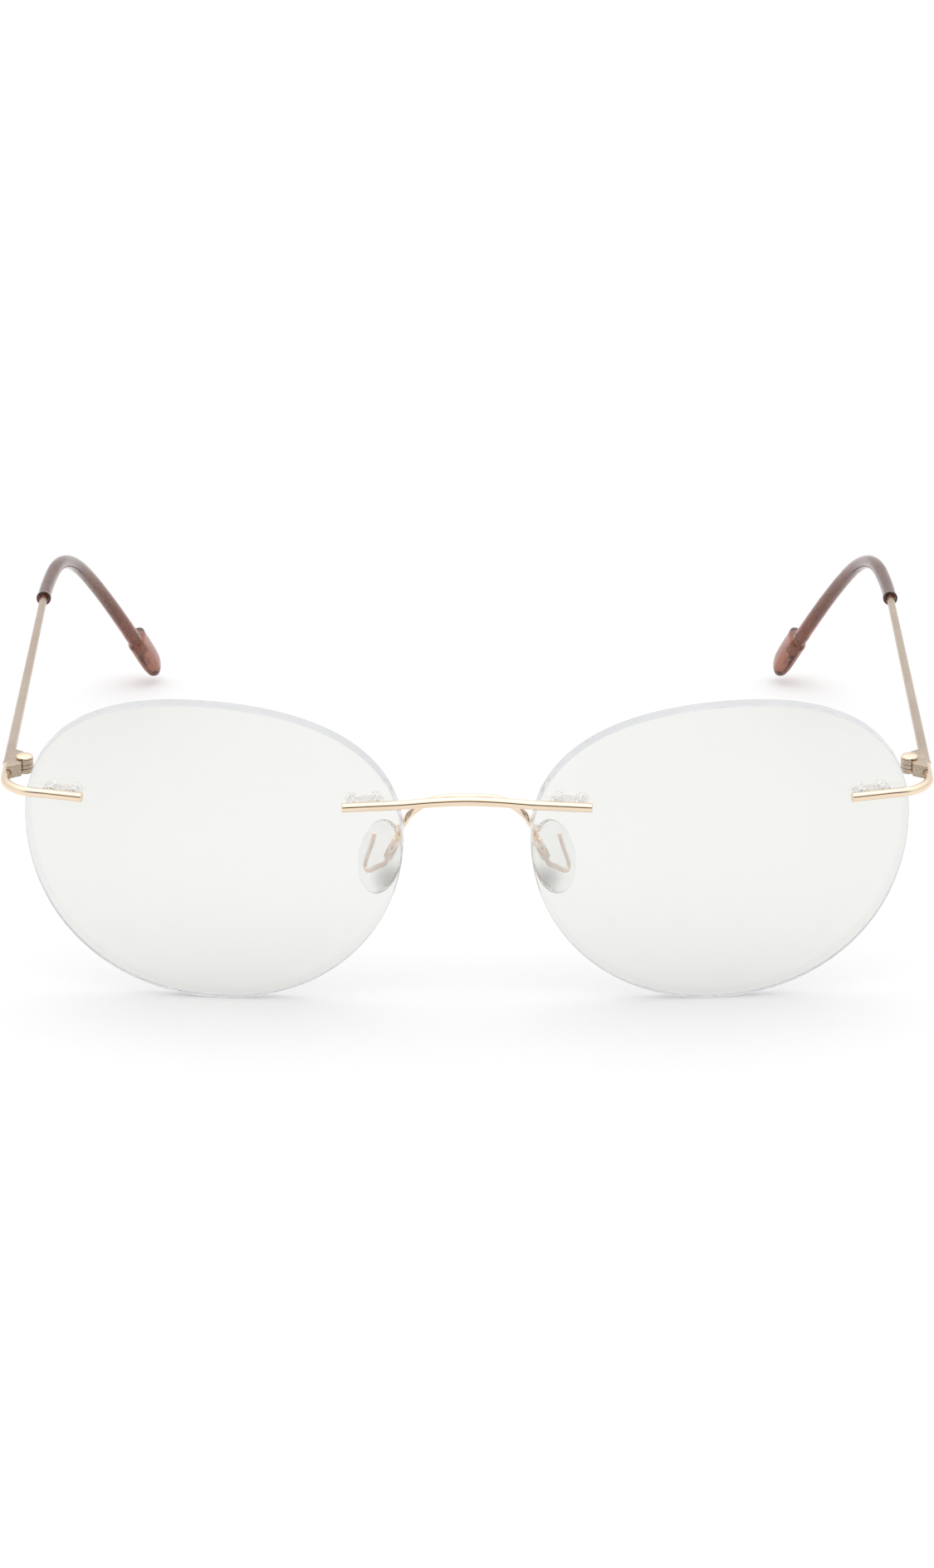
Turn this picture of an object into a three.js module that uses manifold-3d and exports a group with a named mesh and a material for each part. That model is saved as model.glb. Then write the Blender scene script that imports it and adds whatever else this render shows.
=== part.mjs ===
// Rimless eyeglasses: two drilled lenses held between wires, with hinged wire temples.
// Millimetres, +Z up. The front faces -Y and the temples run back along +Y.
import * as THREE from "three";
import { mergeVertices } from "three/addons/utils/BufferGeometryUtils.js";
import Module from "manifold-3d";

const wasm = await Module();
wasm.setup();

const degrees = THREE.MathUtils.degToRad;

// Lenses
const LENS_WIDTH = 51.5;
const LENS_HEIGHT = 43.8;
const LENS_THICKNESS = 2;
const LENS_RADIUS = 106; // of the front surface
const LENS_GAP = 17; // between the lenses, at the nose
const WRAP = degrees(5); // each lens is turned back at its outer side
const TILT = degrees(5); // the top of the front leans forward
const OUTER_RISE = 4.4; // how far the outermost point is above mid-height
const NOSE_RISE = 2.3; // the same, at the nose side
const TOP_SHIFT = 3.2; // how far the highest point is outside the middle
const BOTTOM_SHIFT = -0.6; // the same, for the lowest point
const CORNER_FULLNESS = [
  [0.66, 0.59], // outer side to top
  [0.6, 0.64], // top to nose side
  [0.48, 0.65], // nose side to bottom
  [0.57, 0.59], // bottom to outer side
];

// Wires
const FRONT_WIRE = 0.65; // radius of the bridge and the end-pieces
const ARM_WIRE = 0.5; // radius of the pad arms
const CORE_WIRE = 0.35; // radius of the wire inside each nose pad
const TEMPLE_START = 0.7; // radius of the temple wire at its hinge
const TEMPLE_MOUTH = 0.55; // the same, where it enters the sleeve
const TEMPLE_CORE = 0.48; // the same, inside the sleeve
const WIRE_SEAT = 0.08; // gap between a wire and the lens it lies on
const BRAZE = 0.05; // gap that stands for a film of braze

// Twin-pin mounts: a pair of pins, pressed into a clear double bush behind the lens
const PIN_SPACING = 3.2;
const PIN_RADIUS = 0.45;
const PIN_PLAY = 0.05;
const BARREL_WALL = 0.25;
const BARREL_PLAY = 0.06; // between a bush and its drilled hole
const BUSH_HEAD = 1.2; // how far the bush stands out behind the lens
const BUSH_BAND = 0.7; // thickness of the band that joins its two rings
const BUSH_BAND_WIDTH = 1.2;
const RING_WALL = 0.23; // ring outside the barrel
const BUSH_SEAT = 0.12;
const BUSH_RECESS = 0.3; // barrel's end below the lens front
const PIN_RECESS = 0.15; // pin's end below the bush's
const BRIDGE_MOUNT = { u: 4.85 - LENS_WIDTH / 2, v: 7.95 }; // near the nose side
const END_MOUNT = { u: LENS_WIDTH / 2 - 4.95, v: 8.35 }; // near the outer side
const BRIDGE_OVERHANG = 1.8; // wire past the last pin
const BRIDGE_LEAVES = 0.3; // where it leaves the lens, inside the edge
const END_OVERHANG = 2;

// Bridge and pad arms
const BRIDGE_RISE = 0.3; // of its middle above its mounts
const BRIDGE_AHEAD = 2.35; // of its middle ahead of the lens's back edge at the nose
const ARM_SIDE = degrees(8); // the pad-arm wire lies behind the bridge, and this far above level
const ARM_BENDS = [
  // outwards from the lens's nose side, then back and down from the middle of the wire
  [-5, 0, 0.1],
  [-3.8, 0.1, 0.5],
  [-2.6, 0.25, 1.1],
  [-1.6, 0.45, 1.9],
  [-0.6, 1.1, 3],
  [0, 2.2, 4.4],
  [0.4, 3.8, 5.6],
  [0.8, 6, 6.3],
];

// Nose pads
const PAD_LENGTH = 10.4;
const PAD_WIDTH = 7.2;
const PAD_BULGE = 1.35; // from the middle to the outer face
const PAD_FLAT = 0.95; // from the middle to the flat that meets the nose
const PAD_OUT = 3.5; // pad's centre outside the lens's nose side
const PAD_BACK = 11.6;
const PAD_BELOW = 3.4; // below the lens's mid-height
const PAD_SPLAY = degrees(50);
const PAD_LEAN = degrees(14);
const PAD_PITCH = degrees(6);
const FERRULE_TOP = new THREE.Vector3(0.55, -2.55, 3.5); // from the pad's centre
const FERRULE_FOOT = new THREE.Vector3(0.35, -1.7, 0.4);
const FERRULE_WALL = 0.14;
const FERRULE_GRIP = 1.3; // length of wire inside each end
const FERRULE_PLAY = 0.05;
const CORE_PLAY = 0.06;
const CORE_END_PLAY = 0.15;

// Hinges and temples
const END_REACH = 2.907; // temple wire's middle outside the lens
const HINGE_BACK = 14.6; // hinge axis behind the lens front
const HINGE_OFFSET = 2.3; // hinge axis inside the temple wire
const HINGE_TILT = degrees(4); // top of the hinge pin leans forward
const KNUCKLE_RADIUS = 1.22;
const KNUCKLE_OUTER = 0.7; // height of the top and bottom knuckles
const KNUCKLE_MIDDLE = 0.5;
const KNUCKLE_GAP = 0.05;
const LEAF_LENGTH = { front: 3.6, temple: 4.3 };
const LEAF_SLANT = 0.62; // length at the plate's inner side, as a share of its length at the wire
const LEAF_INSIDE = 0.3; // plate's inner face, outside the hinge axis
const BUTT_GAP = 0.1; // between the front half and the temple half
const SCREW_RADIUS = 0.55;
const SCREW_PLAY = 0.05;
const SCREW_HEAD_RADIUS = 1.15;
const SCREW_HEAD = 0.5;
const SCREW_EDGE = 0.18; // upright edge of the head, below its dome
const SCREW_TAIL = 0.3; // below the bottom knuckle
const SLOT_WIDTH = 0.26;
const SLOT_DEPTH = 0.25;
const TEMPLE_ABOVE = 8.483; // temple wire above the lens's mid-height
const HINGE_ABOVE = 0.15; // hinge's middle above the wire's
const TEMPLE_STRAIGHT = 73; // wire between the hinge and the sleeve

// Temple sleeves, by distance from the mouth
const SLEEVE_LENGTH = 64.4;
const BEND_START = 12.5;
const BEND_RADIUS = 34.4;
const BEND_LENGTH = 22.4;
const DROP_RADIUS = 53.7; // softer bend after the first
const INWARD_RADIUS = 147;
const MOUTH_RADIUS = 1.08;
const SLEEVE_RADIUS = 0.98;
const SLEEVE_SWELL = 0.17; // extra radius by the start of the paddle
const PADDLE_LENGTH = 8.4;
const PADDLE_SHOULDER = 1;
const PADDLE_BLUNT = 8; // higher for a blunter end
const PADDLE_THICK = 1.45; // half of its thickness
const PADDLE_WIDE = 2.4; // half of its width
const PADDLE_SHIFT = 0.75; // the paddle is wider on its upper side
const MOUTH_LIP = 0.8; // length of the wider lip at the mouth
const SLEEVE_PLAY = 0.12;
const CORE_PAST_SHOULDER = 3.2;
const CORE_ENTRY = 1.5; // length over which the wire thins, past the mouth
const CORE_END_ROOM = 0.3; // past the wire's end

const WIRE_SIDES = 12;
const HOLE_SIDES = 16;

// Helpers for solids

function solidOf(geometry) {
  const bare = new THREE.BufferGeometry();
  const flat = geometry.index ? geometry.toNonIndexed() : geometry;
  bare.setAttribute("position", flat.getAttribute("position"));
  const merged = mergeVertices(bare, 1e-4);
  return new wasm.Manifold(
    new wasm.Mesh({
      numProp: 3,
      vertProperties: new Float32Array(merged.attributes.position.array),
      triVerts: new Uint32Array(merged.index.array),
    }),
  );
}

function geometryOf(solid) {
  const mesh = solid.getMesh();
  const geometry = new THREE.BufferGeometry();
  geometry.setAttribute("position", new THREE.BufferAttribute(mesh.vertProperties, 3));
  geometry.setIndex(new THREE.BufferAttribute(mesh.triVerts, 1));
  const flat = geometry.toNonIndexed();
  flat.computeVertexNormals();
  return flat;
}

const join = (...parts) => geometryOf(parts.map(solidOf).reduce((a, b) => a.add(b)));
const cut = (body, ...tools) =>
  geometryOf(tools.map(solidOf).reduce((a, b) => a.subtract(b), solidOf(body)));
const overlap = (a, b) => geometryOf(solidOf(a).intersect(solidOf(b)));

// A geometry carried from an object's own frame into the world, facing out in a mirrored frame too.
function inWorld(geometry, object) {
  const moved = geometry.index ? geometry.toNonIndexed() : geometry.clone();
  moved.applyMatrix4(object.matrixWorld);
  if (object.matrixWorld.determinant() > 0) return moved;
  const position = moved.getAttribute("position");
  for (let i = 0; i < position.count; i += 3) {
    const second = new THREE.Vector3().fromBufferAttribute(position, i + 1);
    const third = new THREE.Vector3().fromBufferAttribute(position, i + 2);
    position.setXYZ(i + 1, third.x, third.y, third.z);
    position.setXYZ(i + 2, second.x, second.y, second.z);
  }
  return moved;
}

// A round rod along Y, from one depth to another.
function rodY(radius, from, to, x = 0, z = 0) {
  const rod = new THREE.CylinderGeometry(radius, radius, to - from, HOLE_SIDES);
  return rod.translate(x, (from + to) / 2, z);
}

function rodZ(radius, from, to) {
  return rodY(radius, from, to).rotateX(Math.PI / 2);
}

function box(x0, x1, y0, y1, z0, z1) {
  const block = new THREE.BoxGeometry(x1 - x0, y1 - y0, z1 - z0);
  return block.translate((x0 + x1) / 2, (y0 + y1) / 2, (z0 + z1) / 2);
}

// A round wire along a smooth curve through the given points.
function wire(points, radius, steps) {
  const section = new THREE.Shape();
  section.absarc(0, 0, radius, 0, 2 * Math.PI);
  return new THREE.ExtrudeGeometry(section, {
    steps,
    curveSegments: WIRE_SIDES / 2, // an arc is given twice as many sides
    bevelEnabled: false,
    extrudePath: new THREE.CatmullRomCurve3(points, false, "centripetal"),
  });
}

function turned(profile, sides) {
  return new THREE.LatheGeometry(profile.map(([r, y]) => new THREE.Vector2(r, y)), sides);
}

function mesh(name, geometry, finish) {
  const made = new THREE.Mesh(geometry, new THREE.MeshStandardMaterial(finish));
  made.name = name;
  return made;
}

const GOLD = { color: 0xd9b98a, roughness: 0.2, metalness: 1 };
const SATIN_GOLD = { color: 0xc2a888, roughness: 0.42, metalness: 1 };
const ROSE_GOLD = { color: 0xd9a890, roughness: 0.3, metalness: 1 };
const LENS_CLEAR = { color: 0xf1f2ee, roughness: 0.03, metalness: 0, transparent: true, opacity: 0.35 };
const BUSH_CLEAR = { color: 0xe8e8e2, roughness: 0.1, metalness: 0, transparent: true, opacity: 0.5 };
const SILICONE = { color: 0xe9ebec, roughness: 0.2, metalness: 0, transparent: true, opacity: 0.5 };
const BROWN = { color: 0x6b5648, roughness: 0.18, metalness: 0, transparent: true, opacity: 0.85 };

// Lens

const LENS_BACK_RADIUS = LENS_RADIUS - LENS_THICKNESS; // both surfaces share one centre

const frontSag = (r) => LENS_RADIUS - Math.sqrt(LENS_RADIUS ** 2 - r ** 2);
const backSag = (r) => LENS_RADIUS - Math.sqrt(LENS_BACK_RADIUS ** 2 - r ** 2);

// Outline in the lens's own plane: u outwards, v up. Four arcs, level or upright where they meet.
function lensOutline() {
  const outer = new THREE.Vector2(LENS_WIDTH / 2, OUTER_RISE);
  const top = new THREE.Vector2(TOP_SHIFT, LENS_HEIGHT / 2);
  const nose = new THREE.Vector2(-LENS_WIDTH / 2, NOSE_RISE);
  const bottom = new THREE.Vector2(BOTTOM_SHIFT, -LENS_HEIGHT / 2);
  const stations = [outer, top, nose, bottom, outer];
  const shape = new THREE.Shape();
  shape.moveTo(outer.x, outer.y);
  CORNER_FULLNESS.forEach(([leave, arrive], i) => {
    const from = stations[i];
    const to = stations[i + 1];
    const startsUpright = i % 2 === 0;
    const reach = to.clone().sub(from);
    const first = startsUpright ? [0, reach.y * leave] : [reach.x * leave, 0];
    const second = startsUpright ? [reach.x * arrive, 0] : [0, reach.y * arrive];
    shape.bezierCurveTo(
      from.x + first[0], from.y + first[1],
      to.x - second[0], to.y - second[1],
      to.x, to.y,
    );
  });
  return shape;
}

function lensBlank() {
  const rim = Math.hypot(LENS_WIDTH, LENS_HEIGHT) / 2;
  const rings = 7;
  const radii = Array.from({ length: rings + 1 }, (_, i) => (rim * i) / rings);
  const front = radii.map((r) => [r, frontSag(r)]);
  const back = radii.map((r) => [r, backSag(r)]).reverse();
  return turned([...front, ...back], 40);
}

function lensGeometry(mounts) {
  const depth = 4 * LENS_THICKNESS + frontSag(LENS_WIDTH / 2);
  const edge = new THREE.ExtrudeGeometry(lensOutline(), {
    depth,
    bevelEnabled: false,
    curveSegments: 20,
  });
  edge.rotateX(Math.PI / 2).translate(0, depth - LENS_THICKNESS, 0);
  const holes = mounts.flatMap((mount) =>
    [-1, 1].map((side) =>
      rodY(HOLE_RADIUS, -LENS_THICKNESS, 2 * LENS_THICKNESS, (side * PIN_SPACING) / 2)
        .applyMatrix4(mount.matrix),
    ),
  );
  return cut(overlap(lensBlank(), edge), ...holes);
}

// Twin-pin mounts

const BUSH_BORE = PIN_RADIUS + PIN_PLAY;
const BARREL_RADIUS = BUSH_BORE + BARREL_WALL;
const RING_RADIUS = BARREL_RADIUS + RING_WALL;
const HOLE_RADIUS = BARREL_RADIUS + BARREL_PLAY;
const HEAD_START = LENS_THICKNESS + BUSH_SEAT;
const HEAD_END = HEAD_START + BUSH_HEAD;
const PIN_END = HEAD_END - PIN_RECESS;
const PIN_XS = [-PIN_SPACING / 2, PIN_SPACING / 2];

// A frame on the lens front: its Y axis runs straight through the lens.
function mountFrame({ u, v }) {
  const frame = new THREE.Group();
  const sag = frontSag(Math.hypot(u, v));
  const inwards = new THREE.Vector3(-u, LENS_RADIUS - sag, -v).normalize();
  frame.position.set(u, sag, v);
  frame.quaternion.setFromUnitVectors(new THREE.Vector3(0, 1, 0), inwards);
  frame.updateMatrix();
  return frame;
}

function bushGeometry() {
  const barrels = PIN_XS.map((x) => rodY(BARREL_RADIUS, BUSH_RECESS, HEAD_START + BUSH_BAND / 2, x));
  const rings = PIN_XS.map((x) => rodY(RING_RADIUS, HEAD_START, HEAD_END, x));
  const halfBand = BUSH_BAND_WIDTH / 2;
  const band = box(PIN_XS[0], PIN_XS[1], HEAD_START, HEAD_START + BUSH_BAND, -halfBand, halfBand);
  const bores = PIN_XS.map((x) => rodY(BUSH_BORE, 0, 2 * HEAD_END, x));
  return cut(join(...rings, band, ...barrels), ...bores);
}

const pins = () => PIN_XS.map((x) => rodY(PIN_RADIUS, -FRONT_WIRE, PIN_END, x));

const WIRE_STANDOFF = FRONT_WIRE + WIRE_SEAT;

// One half of the front, for the wearer's left; the other half is its mirror image

const lensTilt = new THREE.Euler(TILT, 0, WRAP, "ZYX");

function outlinePointsInWorld(x, y, z) {
  return lensOutline().getPoints(20).flatMap(({ x: u, y: v }) =>
    [frontSag, backSag].map((sag) =>
      new THREE.Vector3(u, sag(Math.hypot(u, v)), v).applyEuler(lensTilt).add({ x, y, z }),
    ),
  );
}

const untilted = outlinePointsInWorld(0, 0, 0);
const noseEdge = untilted.reduce((a, b) => (a.x < b.x ? a : b));
const LENS_X = LENS_GAP / 2 - noseEdge.x;
const LENS_Z = -Math.min(...untilted.map((p) => p.z));
const TEMPLE_X = LENS_X + Math.max(...untilted.map((p) => p.x)) + END_REACH;
const TEMPLE_HEIGHT = LENS_Z + TEMPLE_ABOVE;
const HINGE_X = TEMPLE_X - HINGE_OFFSET;

function frontHalf(side) {
  const half = new THREE.Group();
  if (side === "right") half.scale.x = -1;

  const lensFrame = new THREE.Group();
  lensFrame.position.set(LENS_X, 0, LENS_Z);
  lensFrame.rotation.copy(lensTilt);
  const bridgeMount = mountFrame(BRIDGE_MOUNT);
  const endMount = mountFrame(END_MOUNT);
  lensFrame.add(bridgeMount, endMount);
  lensFrame.add(mesh("lens_" + side, lensGeometry([bridgeMount, endMount]), LENS_CLEAR));
  bridgeMount.add(mesh("bridge_bush_" + side, bushGeometry(), BUSH_CLEAR));
  endMount.add(mesh("endpiece_bush_" + side, bushGeometry(), BUSH_CLEAR));

  const padFrame = new THREE.Group();
  padFrame.position.set(LENS_GAP / 2 + PAD_OUT, PAD_BACK, LENS_Z - PAD_BELOW);
  padFrame.rotation.set(PAD_PITCH, -PAD_LEAN, -PAD_SPLAY, "ZYX");
  padFrame.add(mesh("nose_pad_" + side, padGeometry(), SILICONE));
  padFrame.add(mesh("pad_core_" + side, padCore(CORE_WIRE, 0), ROSE_GOLD));
  padFrame.add(mesh("pad_ferrule_" + side, ferruleGeometry(), ROSE_GOLD));

  const hingeFrame = new THREE.Group();
  hingeFrame.position.set(HINGE_X, HINGE_BACK, TEMPLE_HEIGHT + HINGE_ABOVE);
  hingeFrame.add(mesh("front_hinge_leaf_" + side, frontLeaf(), SATIN_GOLD));
  hingeFrame.add(mesh("temple_hinge_leaf_" + side, templeLeaf(), SATIN_GOLD));
  hingeFrame.add(mesh("hinge_screw_" + side, screwGeometry(), GOLD));

  const templeFrame = new THREE.Group();
  templeFrame.position.set(TEMPLE_X, HINGE_BACK, TEMPLE_HEIGHT);
  templeFrame.add(mesh("temple_wire_" + side, templeWire(), SATIN_GOLD));
  templeFrame.add(mesh("temple_sleeve_" + side, sleeveGeometry(), BROWN));

  half.add(lensFrame, padFrame, hingeFrame, templeFrame);
  return { half, bridgeMount, endMount, padFrame };
}

// Nose pad, with its hairpin core and the ferrule that joins it to the arm

const ferruleAxis = FERRULE_TOP.clone().sub(FERRULE_FOOT).normalize();
const ferruleTurn = new THREE.Quaternion().setFromUnitVectors(new THREE.Vector3(0, 1, 0), ferruleAxis);
const FERRULE_LENGTH = FERRULE_TOP.distanceTo(FERRULE_FOOT);
const FERRULE_RADIUS = ARM_WIRE + FERRULE_PLAY + FERRULE_WALL;
const alongFerrule = (distance) => FERRULE_FOOT.clone().addScaledVector(ferruleAxis, distance);

// The hairpin, from inside the ferrule; its free end can be made longer for the room it lies in.
function padCore(radius, longer) {
  const inside = [
    new THREE.Vector3(0.1, -0.1, -1.45),
    new THREE.Vector3(0, 0.7, -2.15),
    new THREE.Vector3(0, 1.25, -2.42),
    new THREE.Vector3(0, 1.78, -2.1),
    new THREE.Vector3(0, 1.9, -1.2),
    new THREE.Vector3(0, 1.65, 0.6),
    new THREE.Vector3(0, 1.56, 2.8 + longer),
  ];
  const gripped = [FERRULE_GRIP, FERRULE_GRIP / 2, -0.3, -0.8].map(alongFerrule);
  return wire([...gripped, ...inside], radius, 30);
}

function padGeometry() {
  const oval = new THREE.SphereGeometry(1, 28, 16);
  oval.rotateX(Math.PI / 2).scale(PAD_BULGE, PAD_WIDTH / 2, PAD_LENGTH / 2);
  const kept = box(-PAD_FLAT, 2 * PAD_BULGE, -PAD_WIDTH, PAD_WIDTH, -PAD_LENGTH, PAD_LENGTH);
  const room = rodY(FERRULE_RADIUS + CORE_PLAY, -CORE_PLAY, FERRULE_LENGTH + PAD_BULGE);
  room.applyQuaternion(ferruleTurn).translate(...FERRULE_FOOT);
  return cut(overlap(oval, kept), padCore(CORE_WIRE + CORE_PLAY, CORE_END_PLAY), room);
}

function ferruleGeometry() {
  const armBore = ARM_WIRE + FERRULE_PLAY;
  const coreBore = CORE_WIRE + FERRULE_PLAY;
  const web = FERRULE_GRIP + FERRULE_PLAY;
  const tube = turned(
    [
      [0, web],
      [coreBore, web],
      [coreBore, 0],
      [FERRULE_RADIUS, 0],
      [FERRULE_RADIUS, FERRULE_LENGTH],
      [armBore, FERRULE_LENGTH],
      [armBore, FERRULE_LENGTH - web],
      [0, FERRULE_LENGTH - web],
    ],
    HOLE_SIDES,
  );
  return tube.applyQuaternion(ferruleTurn).translate(...FERRULE_FOOT);
}

// Hinge: the front leaf has the top and bottom knuckles, the temple leaf the middle one

const STACK_HALF = KNUCKLE_MIDDLE / 2 + KNUCKLE_GAP + KNUCKLE_OUTER;
const PLATE_HALF = STACK_HALF - SCREW_HEAD_RADIUS * Math.tan(HINGE_TILT); // clears the leaning head
const PLATE_OUTSIDE = HINGE_OFFSET - BRAZE; // the plates wrap the inner half of the wires

// The middle knuckle is level 0; those above and below it are 1 and -1.
function knuckle(level, play = 0) {
  const middle = level * ((KNUCKLE_MIDDLE + KNUCKLE_OUTER) / 2 + KNUCKLE_GAP);
  const half = (level === 0 ? KNUCKLE_MIDDLE : KNUCKLE_OUTER) / 2 + play;
  return rodZ(KNUCKLE_RADIUS + play, middle - half, middle + half).rotateX(HINGE_TILT);
}

// A plate brazed to the wire, longest where it meets the wire, with its own knuckles.
// Direction is -1 for the front's leaf and 1 for the temple's.
function leaf(direction, length, wireRadius, ownLevels, otherLevels) {
  const butt = (direction * BUTT_GAP) / 2;
  const plan = new THREE.Shape([
    new THREE.Vector2(LEAF_INSIDE, butt),
    new THREE.Vector2(PLATE_OUTSIDE, butt),
    new THREE.Vector2(PLATE_OUTSIDE, direction * length),
    new THREE.Vector2(LEAF_INSIDE, direction * length * LEAF_SLANT),
  ]);
  const plate = new THREE.ExtrudeGeometry(plan, { depth: 2 * PLATE_HALF, bevelEnabled: false });
  plate.translate(0, 0, -PLATE_HALF);
  const room = otherLevels.map((level) => knuckle(level, KNUCKLE_GAP));
  const own = ownLevels.map((level) => knuckle(level));
  const bore = rodZ(SCREW_RADIUS + SCREW_PLAY, -2 * STACK_HALF, 2 * STACK_HALF).rotateX(HINGE_TILT);
  const groove = rodY(wireRadius + BRAZE, -2 * length, 2 * length, HINGE_OFFSET, -HINGE_ABOVE);
  return cut(join(cut(plate, ...room), ...own), bore, groove);
}

const frontLeaf = () => leaf(-1, LEAF_LENGTH.front, FRONT_WIRE, [-1, 1], [0]);
const templeLeaf = () => leaf(1, LEAF_LENGTH.temple, TEMPLE_START, [0], [-1, 1]);

function screwGeometry() {
  const seat = STACK_HALF + KNUCKLE_GAP;
  const foot = -STACK_HALF - SCREW_TAIL;
  const dome = [0.25, 0.5, 0.75].map((t) => {
    const angle = (t * Math.PI) / 2;
    const rise = SCREW_EDGE + (SCREW_HEAD - SCREW_EDGE) * Math.sin(angle);
    return [SCREW_HEAD_RADIUS * Math.cos(angle), seat + rise];
  });
  const profile = [
    [0, foot],
    [SCREW_RADIUS, foot],
    [SCREW_RADIUS, seat],
    [SCREW_HEAD_RADIUS, seat],
    [SCREW_HEAD_RADIUS, seat + SCREW_EDGE],
    ...dome,
    [0, seat + SCREW_HEAD],
  ];
  const half = SLOT_WIDTH / 2;
  const slot = box(-SCREW_HEAD_RADIUS, SCREW_HEAD_RADIUS, -half, half, foot - 1, foot + SLOT_DEPTH);
  return cut(turned(profile, HOLE_SIDES).rotateX(Math.PI / 2), slot).rotateX(HINGE_TILT);
}

// Temple: one centreline for the wire and for the sleeve round it

const TEMPLE_LENGTH = TEMPLE_STRAIGHT + SLEEVE_LENGTH;

// Unit vectors at a distance along the temple: along it, down across it, and sideways across it.
function templeAxes(distance) {
  const past = Math.max(0, distance - TEMPLE_STRAIGHT);
  const inFirstBend = THREE.MathUtils.clamp(past - BEND_START, 0, BEND_LENGTH);
  const inSecondBend = Math.max(0, past - BEND_START - BEND_LENGTH);
  const pitch = inFirstBend / BEND_RADIUS + inSecondBend / DROP_RADIUS;
  const yaw = past / INWARD_RADIUS;
  const along = new THREE.Vector3(
    -Math.sin(yaw),
    Math.cos(yaw) * Math.cos(pitch),
    -Math.cos(yaw) * Math.sin(pitch),
  );
  const down = new THREE.Vector3(0, -Math.sin(pitch), -Math.cos(pitch));
  return { along, down, across: along.clone().cross(down) };
}

const TEMPLE_STEP = 0.5;
const templeLine = [new THREE.Vector3()];
for (let distance = 0; distance < TEMPLE_LENGTH + TEMPLE_STEP; distance += TEMPLE_STEP) {
  const { along } = templeAxes(distance + TEMPLE_STEP / 2);
  templeLine.push(templeLine.at(-1).clone().addScaledVector(along, TEMPLE_STEP));
}

function templePoint(distance) {
  const index = Math.floor(distance / TEMPLE_STEP);
  const rest = distance / TEMPLE_STEP - index;
  return templeLine[index].clone().lerp(templeLine[index + 1], rest);
}

// Bends a geometry that was made along the Y axis, so that Y becomes distance along the temple.
function alongTemple(geometry) {
  const position = geometry.getAttribute("position");
  for (let i = 0; i < position.count; i += 1) {
    const [x, distance, z] = [position.getX(i), position.getY(i), position.getZ(i)];
    const { down, across } = templeAxes(distance);
    const point = templePoint(distance).addScaledVector(across, x).addScaledVector(down, z);
    position.setXYZ(i, point.x, point.y, point.z);
  }
  return geometry;
}

// Distances of the rings of a rod: its ends, any extra stations, and even steps in the bends.
function ringStations(from, to, extra = []) {
  const bendStep = 2.6;
  const stations = [from, to, ...extra];
  for (let d = TEMPLE_STRAIGHT; d < to; d += bendStep) {
    if (d > from) stations.push(d);
  }
  const sorted = stations.sort((a, b) => a - b);
  return sorted.filter((d, i) => i === 0 || d - sorted[i - 1] > 0.15);
}

function rod(radiusAt, from, to, extra) {
  const rings = ringStations(from, to, extra).map((d) => [radiusAt(d), d]);
  return turned([[0, from], ...rings, [0, to]], WIRE_SIDES);
}

const PADDLE_START = TEMPLE_LENGTH - PADDLE_LENGTH;
const CORE_END = PADDLE_START + CORE_PAST_SHOULDER;

function wireRadius(distance) {
  const taper = THREE.MathUtils.clamp(distance / TEMPLE_STRAIGHT, 0, 1);
  if (distance <= TEMPLE_STRAIGHT) return THREE.MathUtils.lerp(TEMPLE_START, TEMPLE_MOUTH, taper);
  return TEMPLE_CORE;
}

function templeWire() {
  const entry = TEMPLE_STRAIGHT + CORE_ENTRY;
  const shaft = rod(wireRadius, BUTT_GAP / 2, CORE_END, [TEMPLE_STRAIGHT, entry]);
  return alongTemple(shaft);
}

// How far the sleeve has opened out into its paddle: 0 on the tube, 1 past the shoulder.
function paddleShare(distance) {
  return THREE.MathUtils.smoothstep(distance, PADDLE_START, PADDLE_START + PADDLE_SHOULDER);
}

// The paddle narrows to a rounded end.
function paddleEnd(distance) {
  const left = Math.max(0, TEMPLE_LENGTH - distance) / PADDLE_LENGTH;
  return Math.sqrt(Math.max(0.02, 1 - (1 - left) ** PADDLE_BLUNT));
}

function sleeveGeometry() {
  const mouth = TEMPLE_STRAIGHT;
  const radiusAt = (distance) => {
    const along = (distance - mouth) / (PADDLE_START - mouth);
    const tube = SLEEVE_RADIUS + SLEEVE_SWELL * THREE.MathUtils.clamp(along, 0, 1);
    return distance < mouth + MOUTH_LIP ? MOUTH_RADIUS : tube;
  };
  const nearEnd = [0.2, 0.6, 1.2, 2.2, 3.6].map((d) => TEMPLE_LENGTH - d);
  const shoulder = [0, 0.25, 0.5, 0.75, 1].map((share) => PADDLE_START + share * PADDLE_SHOULDER);
  const lip = [mouth + MOUTH_LIP, mouth + 2 * MOUTH_LIP];
  const outside = rod(radiusAt, mouth, TEMPLE_LENGTH, [...lip, ...shoulder, ...nearEnd]);
  const position = outside.getAttribute("position");
  for (let i = 0; i < position.count; i += 1) {
    const distance = position.getY(i);
    const share = paddleShare(distance);
    const full = radiusAt(distance);
    const end = paddleEnd(distance);
    const thick = THREE.MathUtils.lerp(1, (PADDLE_THICK / full) * end, share);
    const wide = THREE.MathUtils.lerp(1, (PADDLE_WIDE / full) * end, share);
    position.setX(i, position.getX(i) * thick);
    position.setZ(i, position.getZ(i) * wide - PADDLE_SHIFT * share * end);
  }
  const boreAt = (distance) => wireRadius(distance) + SLEEVE_PLAY;
  const bore = rod(boreAt, mouth - 1, CORE_END + CORE_END_ROOM, [mouth, mouth + CORE_ENTRY]);
  return cut(alongTemple(outside), alongTemple(bore));
}

// Pieces that cross the nose, made where both halves are in place

function mountPoint(frame, x) {
  return frame.localToWorld(new THREE.Vector3(x, -WIRE_STANDOFF, 0));
}

const mirrored = (point) => new THREE.Vector3(-point.x, point.y, point.z);

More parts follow.
